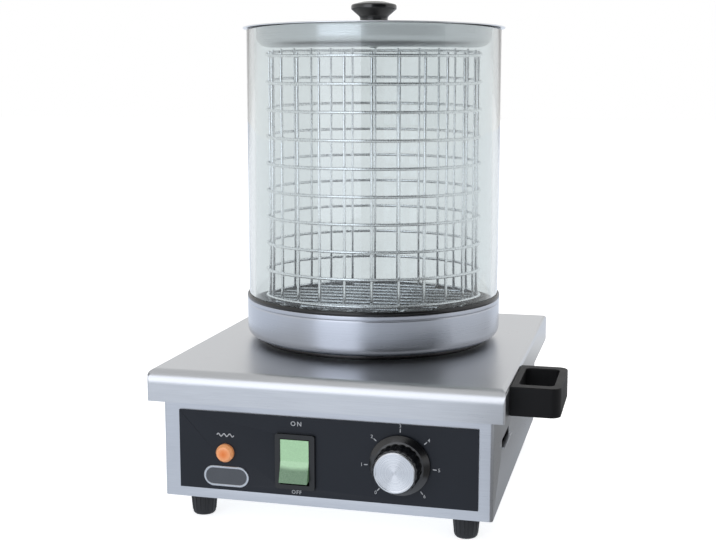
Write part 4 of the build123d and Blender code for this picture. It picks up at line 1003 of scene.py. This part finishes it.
# ---- Screws -----------------------------------------------------------------------------------
def cross_screw(head_radius, head_height, shank_radius, shank_length):
    """A pan-head screw that points up Z from under its head, with a cross recess; in mm."""
    outline = [
        (0, -head_height, 0),
        (head_radius * 0.55, -head_height, 0.3),
        (head_radius, -head_height * 0.35, 0.5),
        (head_radius, 0, 0.1),
        (shank_radius, 0, 0),
        (shank_radius, shank_length, 0.4),
        (0, shank_length, 0),
    ]
    screw = shown("screw", axial_mesh(outline, sides=24, steps=4), ZINC)
    slot_length, slot_width, slot_depth = head_radius * 1.15, head_radius * 0.2, head_height * 0.6
    taper, clearance = 0.45, 0.5
    bars = []
    for turn in (0, QUARTER):
        bar = bmesh.new()
        bmesh.ops.create_cube(bar, size=1)
        for vert in bar.verts:
            deep = vert.co.z > 0
            length = slot_length * (taper if deep else 1.0)
            level = slot_depth - head_height if deep else -clearance - head_height
            place = Vector((vert.co.x * length, vert.co.y * slot_width, level))
            vert.co = Matrix.Rotation(turn, 3, "Z") @ place
        mesh = bpy.data.meshes.new("bar")
        bar.to_mesh(mesh)
        bar.free()
        bars.append(mesh)
    for bar in bars:
        screw = carved(screw, shown("cutter", bar, ZINC))
    mesh = screw.data
    discard(screw)
    return mesh


screws_low, screws_high = box("bottom_screws")
screw_head = 3.75
# The rows stand 0.3 mm further out, at the front and at the back, than the CAD's screws.
row_margin = screw_head * math.cos(math.pi / 8)
screws = grown(
    GRID,
    ZINC,
    cross_screw(screw_head, head_height=2.2, shank_radius=2.0, shank_length=6.0),
    Columns=2,
    Rows=2,
    Width=screws_high.x - screws_low.x - 2 * screw_head,
    Depth=screws_high.y - screws_low.y - 2 * row_margin,
)
screws_middle = middle("bottom_screws")
screws_place = IN_PLACE @ Matrix.Translation((screws_middle.x, screws_middle.y, HOUSING_LOW.z))
fit(shown("base_screws", screws, ZINC, screws_place), "base", "zinc", "bottom_screws")

# ---- Feet -------------------------------------------------------------------------------------
foot_low, foot_high = box("foot_front_left")
foot_radius = (foot_high.x - foot_low.x) / 2
foot_mesh = axial_mesh(
    [
        (0, 0, 0),
        (foot_radius - 2.2, 0, 0.3),
        (foot_radius - 1.2, 1.2, 0.5),
        (foot_radius, foot_high.z - 2.5, 0.6),
        (foot_radius, foot_high.z, 0.4),
        (0, foot_high.z, 0),
    ],
    sides=48,
    steps=4,
)
RIB_COUNT = 16
RIB_LEAN = math.radians(4.5)
rib_low, rib_high = 2.4, foot_high.z - 2.8
rib_corners = [(0, rib_low, 0), (0.55, rib_low, 0.4), (0.75, rib_high, 0.3), (0, rib_high, 0)]
rib = axial_mesh(rib_corners, sides=8, steps=2)
rib.transform(Matrix.Rotation(RIB_LEAN, 4, "Y"))
ribs = grown(
    CIRCLE,
    FOOT_RUBBER,
    rib,
    Count=RIB_COUNT,
    Radius=foot_radius - 1.5,
    First=0.0,
    Step=2 * math.pi / RIB_COUNT,
)
feet = grown(
    GRID,
    FOOT_RUBBER,
    joined([foot_mesh, ribs]),
    Columns=2,
    Rows=2,
    Width=middle("foot_back_right").x - middle("foot_front_left").x,
    Depth=middle("foot_back_right").y - middle("foot_front_left").y,
)
feet_middle = (middle("foot_front_left") + middle("foot_back_right")) / 2
feet_place = IN_PLACE @ Matrix.Translation((feet_middle.x, feet_middle.y, 0))
fit(
    shown("rubber_feet", feet, FOOT_RUBBER, feet_place),
    "base",
    "foot_plastic",
    "foot_front_left",
    "foot_back_left",
    "foot_front_right",
    "foot_back_right",
)

# ---- Pan, gasket and seal ---------------------------------------------------------------------
PAN_SHEET = 1.0
rim = PAN_HIGH.z
fit(
    turned(
        "spun_pan",
        [
            (0, PAN_LOW.z, 0),
            (PAN_RADIUS, PAN_LOW.z, 7.5),
            (PAN_RADIUS, rim - 4.4, 0.8),
            (PAN_RADIUS - 0.5, rim - 3.7, 0.8),
            (PAN_RADIUS + 0.1, rim - 3.0, 0.8),
            (PAN_RADIUS + 0.1, rim, 0.7),
            (PAN_RADIUS - PAN_SHEET, rim, 0.25),
            (PAN_RADIUS - PAN_SHEET, PAN_LOW.z + PAN_SHEET, 6.5),
            (0, PAN_LOW.z + PAN_SHEET, 0),
        ],
        PAN_STEEL,
        STACK,
        sides=160,
    ),
    "base",
    "pan_steel",
    "steam_pan",
)
gasket_low, gasket_high = box("pan_gasket")
gasket_radius = (gasket_high.x - gasket_low.x) / 2
gasket_bore = gasket_radius - 5.0
fit(
    turned(
        "pan_gasket_ring",
        [
            (gasket_bore, gasket_low.z, 0.4),
            (gasket_radius, gasket_low.z, 0.4),
            (gasket_radius + 0.4, (gasket_low.z + gasket_high.z) / 2, 1.2),
            (gasket_radius, gasket_high.z, 0.4),
            (gasket_bore, gasket_high.z, 0.4),
        ],
        SEAL_RUBBER,
        STACK,
        sides=128,
        closed=True,
    ),
    "base",
    "seal_rubber",
    "pan_gasket",
)
seal_low, seal_high = box("glass_seal")
seal_radius = (seal_high.x - seal_low.x) / 2
seal_bore = GLASS_RADIUS + 0.08
seal_skirt = GLASS_RADIUS + 0.42
fit(
    turned(
        "glass_seal_ring",
        [
            (seal_bore, GLASS_LOW.z + 0.6, 0.1),
            (seal_skirt, GLASS_LOW.z + 0.6, 0.1),
            (seal_skirt, seal_low.z, 0.1),
            (seal_radius - 1.0, seal_low.z, 0.2),
            (seal_radius - 0.8, seal_low.z + 1.6, 1.4),
            (GLASS_RADIUS + 0.9, seal_high.z, 0.6),
            (seal_bore, seal_high.z, 0.3),
        ],
        SEAL_RUBBER,
        STACK,
        sides=160,
        closed=True,
    ),
    "base",
    "seal_rubber",
    "glass_seal",
)

# ---- Steam tray -------------------------------------------------------------------------------
TRAY_SHEET = 1.0
HOLE_RADIUS = 4.0
tray_radius = (TRAY_HIGH.x - TRAY_LOW.x) / 2
tray = turned(
    "tray",
    [
        (0, TRAY_HIGH.z - TRAY_SHEET, 0),
        (tray_radius, TRAY_HIGH.z - TRAY_SHEET, 0.3),
        (tray_radius, TRAY_HIGH.z, 0.3),
        (0, TRAY_HIGH.z, 0),
    ],
    SHADED_TRAY_STEEL,
    None,
    sides=128,
    steps=3,
)
punch = rod_mesh(HOLE_RADIUS, TRAY_HIGH.z - 3, TRAY_HIGH.z + 2, sides=24, steps=1)
HOLE_RINGS = ((8, 30.0), (16, 62.0))
for count, radius in HOLE_RINGS:
    holes = grown(
        CIRCLE,
        SHADED_TRAY_STEEL,
        punch.copy(),
        Count=count,
        Radius=radius,
        First=0.0,
        Step=2 * math.pi / count,
    )
    tray = carved(tray, shown("punch", holes, SHADED_TRAY_STEEL))
LEG_WIDTH = 14.0
LEG_CIRCLE = 93.5
leg_height = TRAY_HIGH.z - TRAY_SHEET - TRAY_LOW.z
leg_outline = rounded_rectangle(LEG_WIDTH, leg_height, 2.0, 4)
leg = stacked_mesh(
    [
        [Vector((x, p.x, TRAY_LOW.z + leg_height / 2 + p.y)) for p in leg_outline]
        for x in (-TRAY_SHEET, 0.0)
    ]
)
legs = grown(CIRCLE, SHADED_TRAY_STEEL, leg, Count=4, Radius=LEG_CIRCLE, First=0.0, Step=QUARTER)
tray_mesh = joined([tray.data, legs])
discard(tray)
tray = eased(shown("perforated_tray", tray_mesh, SHADED_TRAY_STEEL, STACK), 0.2, 1)
fit(tray, "tray", "tray_steel", "steam_tray")

# ---- Glass ------------------------------------------------------------------------------------
GLASS_WALL = 5.5
fit(
    turned(
        "glass_tube",
        [
            (GLASS_RADIUS - GLASS_WALL, GLASS_LOW.z, 1.2),
            (GLASS_RADIUS, GLASS_LOW.z, 1.2),
            (GLASS_RADIUS, GLASS_HIGH.z, 1.6),
            (GLASS_RADIUS - GLASS_WALL, GLASS_HIGH.z, 1.6),
        ],
        GLASS,
        STACK,
        sides=192,
        closed=True,
        sharp=80.0,
    ),
    "glass",
    "glass_clear",
    "glass_cylinder",
)

# ---- Wire basket ------------------------------------------------------------------------------
WIRE = 1.15
HOOP_COUNT = 10
UPRIGHT_COUNT = 26
FLOOR_COUNT = 9
FLOOR_MARGIN = 8.6
FIRST_UPRIGHT = math.radians(5.6)
UPRIGHT_INSET = 1.85 * WIRE
hoop_radius = (RINGS_HIGH.y - RINGS_LOW.y) / 2 - WIRE
hoop_lowest = RINGS_LOW.z + WIRE
hoop_pitch = (RINGS_HIGH.z - RINGS_LOW.z - 2 * WIRE) / (HOOP_COUNT - 1)
hoops = grown(
    HOOPS,
    LIT_WIRE_STEEL,
    Count=HOOP_COUNT,
    Pitch=hoop_pitch,
    Lowest=hoop_lowest,
    Radius=hoop_radius,
    Wire=WIRE,
)
fit(shown("basket_hoops", hoops, LIT_WIRE_STEEL, STACK), "basket", "basket_wire", "basket_rings")

uprights_low, uprights_high = box("basket_uprights")
upright = rod_mesh(
    WIRE, uprights_low.z, uprights_high.z, sides=12, steps=2, low_round=0.5, high_round=0.5
)
uprights = grown(
    CIRCLE,
    LIT_WIRE_STEEL,
    upright,
    Count=UPRIGHT_COUNT,
    Radius=hoop_radius - UPRIGHT_INSET,
    First=FIRST_UPRIGHT,
    Step=2 * math.pi / UPRIGHT_COUNT,
)
fit(shown("basket_stays", uprights, LIT_WIRE_STEEL, STACK), "basket", "basket_wire", "basket_uprights")

floor_pitch = 2 * (hoop_radius - FLOOR_MARGIN) / (FLOOR_COUNT - 1)
# A wire with bevelled ends that is 1 mm long, because the tree stretches it to each chord.
wire_end, wire_shoulder, wire_tip = 0.5, 0.496, WIRE * 0.7
unit_wire = axial_mesh(
    [
        (0, -wire_end, 0),
        (wire_tip, -wire_end, 0),
        (WIRE, -wire_shoulder, 0),
        (WIRE, wire_shoulder, 0),
        (wire_tip, wire_end, 0),
        (0, wire_end, 0),
    ],
    sides=12,
    steps=1,
)
unit_wire.transform(Matrix.Rotation(QUARTER, 4, "Y"))
layers = []
for height, turn in ((FLOOR_HIGH.z - WIRE, 0), (FLOOR_LOW.z + WIRE, QUARTER)):
    layer = grown(
        CHORDS,
        SHADED_FLOOR_WIRE_STEEL,
        unit_wire.copy(),
        Count=FLOOR_COUNT,
        Pitch=floor_pitch,
        Radius=hoop_radius,
        Height=height,
    )
    layer.transform(Matrix.Rotation(turn, 4, "Z"))
    layers.append(layer)
basket_grid = shown("basket_grid", joined(layers), SHADED_FLOOR_WIRE_STEEL, STACK)
fit(basket_grid, "basket", "basket_wire", "basket_floor")

basket_leg = rod_mesh(WIRE, LEGS_LOW.z, LEGS_HIGH.z + WIRE, sides=12, steps=4, low_round=1.0)
leg_spread = LEGS_HIGH.x - LEGS_LOW.x - 2 * WIRE
legs = grown(GRID, LIT_WIRE_STEEL, basket_leg, Columns=2, Rows=2, Width=leg_spread, Depth=leg_spread)
fit(shown("basket_feet", legs, LIT_WIRE_STEEL, STACK), "basket", "basket_wire", "basket_legs")

# ---- Lid --------------------------------------------------------------------------------------
LID_SHEET = 1.0
lid_radius = (LID_HIGH.x - LID_LOW.x) / 2
dish_radius = GLASS_RADIUS - GLASS_WALL - 2.0
fit(
    turned(
        "dished_lid",
        [
            (0, LID_LOW.z, 0),
            (dish_radius, LID_LOW.z, 9.0),
            (dish_radius, GLASS_HIGH.z, 1.0),
            (lid_radius, GLASS_HIGH.z, 0.45),
            (lid_radius, LID_HIGH.z, 0.45),
            (dish_radius - LID_SHEET, LID_HIGH.z, 2.0),
            (dish_radius - LID_SHEET, LID_LOW.z + LID_SHEET, 8.0),
            (0, LID_LOW.z + LID_SHEET, 0),
        ],
        LID_STEEL,
        STACK,
        sides=160,
    ),
    "lid",
    "lid_steel",
    "lid_dish",
)
lid_knob_low, lid_knob_high = box("lid_knob")
fit(
    turned(
        "lid_grip",
        [
            (0, lid_knob_low.z, 0),
            (12.0, lid_knob_low.z, 0.4),
            (10.6, lid_knob_low.z + 6, 4.0),
            (11.0, lid_knob_high.z - 11.5, 3.0),
            (17.9, lid_knob_high.z - 5.6, 1.2),
            (17.9, lid_knob_high.z - 2.2, 1.8),
            (9.0, lid_knob_high.z, 3.0),
            (0, lid_knob_high.z, 0),
        ],
        KNOB_PLASTIC,
        STACK,
        sides=72,
    ),
    "lid",
    "knob_plastic",
    "lid_knob",
)
lid_screw_high = box("lid_knob_screw")[1]
lid_screw_length = lid_screw_high.z - LID_LOW.z
lid_screw = cross_screw(4.75, head_height=2.2, shank_radius=2.45, shank_length=lid_screw_length)
fit(
    shown("lid_screw", lid_screw, ZINC, STACK @ Matrix.Translation((0, 0, LID_LOW.z))),
    "lid",
    "zinc",
    "lid_knob_screw",
)

# ---- Control panel ----------------------------------------------------------------------------
def square_cornered(mesh, low, high, radius, left):
    """Tightens a plate's corners to a share of their radius and moves its left edge in; in metres."""
    middle_x, middle_z = (low.x + high.x) / 2, (low.z + high.z) / 2
    share = 0.2
    tight = radius * share
    for vert in mesh.vertices:
        x, z = vert.co.x, vert.co.z
        side, level = math.copysign(1, x - middle_x), math.copysign(1, z - middle_z)
        edge_x, edge_z = (high.x if side > 0 else low.x), (high.z if level > 0 else low.z)
        from_x, from_z = edge_x - side * radius, edge_z - level * radius
        if (x - from_x) * side > -1e-6 and (z - from_z) * level > -1e-6:
            vert.co.x = edge_x - side * tight + (x - from_x) * share
            vert.co.z = edge_z - level * tight + (z - from_z) * share
        if vert.co.x < low.x + radius:
            vert.co.x += left
    return mesh


fascia_mesh = square_cornered(
    merged_copy("fascia_panel"),
    FASCIA_LOW * MM,
    FASCIA_HIGH * MM,
    radius=1.5 * MM,
    left=2.4 * MM,
)
fascia = eased(shown("control_fascia", fascia_mesh, FASCIA_PAINT), 0.2)
fit(fascia, "base", "fascia_paint", "fascia_panel")

KNOB = on_panel(KNOB_MIDDLE.x, KNOB_MIDDLE.z)
knob_back = FASCIA_LOW.y - KNOB_HIGH.y
knob_front = FASCIA_LOW.y - KNOB_LOW.y
FLUTES = 20
FLUTE_DEPTH = 0.035
FLUTED_FROM, FLUTED_TO = 14.0, 17.0


def fluted(angle, point):
    """The barrel's share of its radius: shallow flutes above the skirt."""
    if not FLUTED_FROM < point.x < FLUTED_TO:
        return 1.0
    return 1.0 - FLUTE_DEPTH * (0.5 + 0.5 * math.cos(FLUTES * angle)) ** 2


fit(
    turned(
        "thermostat_grip",
        [
            (5.0, knob_back, 0.3),
            (21.5, knob_back, 0.3),
            (21.5, knob_back + 1.3, 0.4),
            (17.6, knob_back + 4.2, 0.5),
            (16.4, knob_back + 4.4, 0.3),
            (16.1, knob_front - 1.6, 0.0),
            (15.4, knob_front, 0.5),
            (5.0, knob_front, 0.0),
        ],
        KNOB_PLASTIC,
        KNOB,
        sides=160,
        steps=4,
        closed=True,
        wave=fluted,
    ),
    "knob",
    "knob_plastic",
    "thermostat_knob",
)
cap_low, cap_high = box("knob_cap")
cap_out = FASCIA_LOW.y - cap_low.y
cap_back = FASCIA_LOW.y - cap_high.y
fit(
    turned(
        "thermostat_cap",
        [
            (0, cap_back, 0),
            (14.3, cap_back, 0.1),
            (14.3, cap_out - 0.5, 0.3),
            (13.7, cap_out, 0.3),
            (13.1, cap_out, 0.2),
            (12.8, cap_out - 0.2, 0.2),
            (0, cap_out - 0.3, 0),
        ],
        CAP_ALUMINIUM,
        KNOB,
        sides=128,
        steps=4,
    ),
    "knob",
    "cap_aluminium",
    "knob_cap",
)

lens_middle = middle("lamp_lens")
lens_out = FASCIA_LOW.y - LENS_LOW.y
lens_back = FASCIA_LOW.y - LENS_HIGH.y
fit(
    turned(
        "signal_lens",
        [
            (0, lens_back, 0),
            (6.5, lens_back, 0),
            (6.5, 2.6, 0.5),
            (5.0, lens_out - 0.7, 1.0),
            (0, lens_out, 0),
        ],
        ORANGE_PAINTED_HIGHLIGHT,
        on_panel(lens_middle.x, lens_middle.z),
        sides=48,
        steps=5,
    ),
    "base",
    "lens_orange",
    "lamp_lens",
)
softened("switch_frame", "switch_housing", SWITCH_PLASTIC, "base", "switch_black", 0.5, 3)
softened("switch_rocker", "rocker", GREEN_PAINTED_SHADE, "rocker", "rocker_green", 0.7, 3)

# ---- Side handle and cable gland --------------------------------------------------------------
softened("carrying_handle", "side_handle", HANDLE_PLASTIC, "base", "handle_plastic", 1.0, 3)
softened("mains_gland", "cable_gland", GLAND_PLASTIC, "base", "gland_plastic", 0.5)

# ---- Printed marks ----------------------------------------------------------------------------
INK = 0.06
CAPITAL_SHARE = 0.69


def lettering(text, height, x, y, bold=0.0, spacing=1.0):
    """The raised mesh of a short text whose middle is at (x, y), with capitals of a height in mm.

    A capital is CAPITAL_SHARE of the font's size.
    """
    curve = bpy.data.curves.new(text, "FONT")
    curve.body = text
    curve.size = height / CAPITAL_SHARE
    curve.align_x = "CENTER"
    curve.align_y = "CENTER"
    curve.extrude = INK
    curve.offset = bold
    curve.space_character = spacing
    curve.resolution_u = 3
    holder = bpy.data.objects.new(text, curve)
    bpy.context.scene.collection.objects.link(holder)
    mesh = evaluated(holder)
    discard(holder)
    mesh.transform(Matrix.Translation((x, y, INK)))
    return mesh


def flat_mesh(outline, low=0.0, high=2 * INK):
    """A flat shape with an outline, between two heights in mm."""
    return stacked_mesh([[Vector((p.x, p.y, z)) for p in outline] for z in (low, high)])


TICK_COUNT = 7
FIRST_TICK = math.radians(231.0)
TICK_STEP = -math.radians(47.0)
TICK_RADIUS = 24.4
TICK_LENGTH, TICK_WIDTH = 2.6, 0.7
DIGIT_RADIUS = 27.5
DIGIT_HEIGHT = 2.4
tick = flat_mesh(rounded_rectangle(TICK_LENGTH, TICK_WIDTH, TICK_WIDTH * 0.2, 2))
ticks = grown(
    CIRCLE,
    PRINT,
    tick,
    Count=TICK_COUNT,
    Radius=TICK_RADIUS,
    First=FIRST_TICK,
    Step=TICK_STEP,
)
marks = [ticks]
for number in range(TICK_COUNT):
    angle = FIRST_TICK + number * TICK_STEP
    x, y = DIGIT_RADIUS * math.cos(angle), DIGIT_RADIUS * math.sin(angle)
    marks.append(lettering(str(number), DIGIT_HEIGHT, x, y, bold=0.02))
fit(shown("dial_marks", joined(marks), PRINT, KNOB), "base", "fascia_paint")

switch_middle = middle("switch_housing")
WORD_SHIFT = 0.6
ON_LEVEL, OFF_LEVEL = 79.2, 29.3
words = [
    lettering("ON", 3.2, WORD_SHIFT, ON_LEVEL - switch_middle.z, bold=0.06, spacing=1.35),
    lettering("OFF", 2.6, WORD_SHIFT, OFF_LEVEL - switch_middle.z, bold=0.06, spacing=1.2),
]
fit(
    shown("switch_words", joined(words), PRINT, on_panel(switch_middle.x, switch_middle.z)),
    "base",
    "fascia_paint",
)


def wavy_line(length, swing, width, steps=16):
    """A flat printed line along X about the origin that swings once up and once down."""
    upper, lower = [], []
    for step in range(steps + 1):
        share = step / steps
        point = Vector((length * (share - 0.5), swing * math.sin(2 * math.pi * share)))
        along = Vector((length, 2 * math.pi * swing * math.cos(2 * math.pi * share))).normalized()
        across = Vector((-along.y, along.x)) * (width / 2)
        upper.append(point + across)
        lower.append(point - across)
    return flat_mesh(lower + upper[::-1])


SYMBOL_RISE = 12.9
wave = wavy_line(length=4.1, swing=1.0, width=0.75)
steam = grown(GRID, PRINT, wave, Columns=3, Rows=1, Width=8.6, Depth=0.0)
steam.transform(Matrix.Translation((0, SYMBOL_RISE, 0)))
fit(
    shown("heat_symbol", steam, PRINT, on_panel(lens_middle.x, lens_middle.z)),
    "base",
    "fascia_paint",
)

PLATE_WIDTH = 34.0
PLATE_DEPTH = 15.0
PLATE_RIM = 1.6
PLATE_X, PLATE_Z = -89.3, 36.9


def plate_outline(inset):
    """The plate's round-ended outline, set in from its edge."""
    width, depth = PLATE_WIDTH - 2 * inset, PLATE_DEPTH - 2 * inset
    return rounded_rectangle(width, depth, PLATE_DEPTH / 2 - inset, 16)


rim_steps = ((0.0, 0.0), (0.0, 0.55), (0.25, 0.8), (1.35, 0.8), (PLATE_RIM, 0.55))
plate_loops = [[Vector((p.x, p.y, z)) for p in plate_outline(inset)] for inset, z in rim_steps]
plate_place = on_panel(PLATE_X, PLATE_Z)
fit(
    shown("blank_plate_rim", stacked_mesh(plate_loops), PLATE_ALUMINIUM, plate_place),
    "base",
    "cap_aluminium",
)
field = flat_mesh(plate_outline(PLATE_RIM), 0.3, 0.6)
fit(shown("blank_plate_field", field, PLATE_ENAMEL, plate_place), "base", "fascia_paint")

# ---- CAD pieces that keep their shape ---------------------------------------------------------
FINISHES = {
    ZINC: """cover_studs cover_nuts foot_studs foot_nuts pan_studs pan_nuts heater_stud heater_nut
        heater_clamp bulb_clip thermostat_nut handle_screws lamp_clip earth_stud earth_nut""",
    CAST_ALLOY: "heater_plate",
    SHEATH: "heater_element",
    COPPER: "capillary sensor_bulb",
    CASE_PLASTIC: "thermostat_body thermal_cutout",
    BRASS: "switch_terminals thermostat_shaft",
    LAMP_SHELL: "lamp_body",
    CERAMIC: "terminal_block",
    GLAND_PLASTIC: "gland_nut",
}
for finish, names in FINISHES.items():
    for node_name in names.split():
        for slot in NODES[node_name].material_slots:
            slot.material = finish
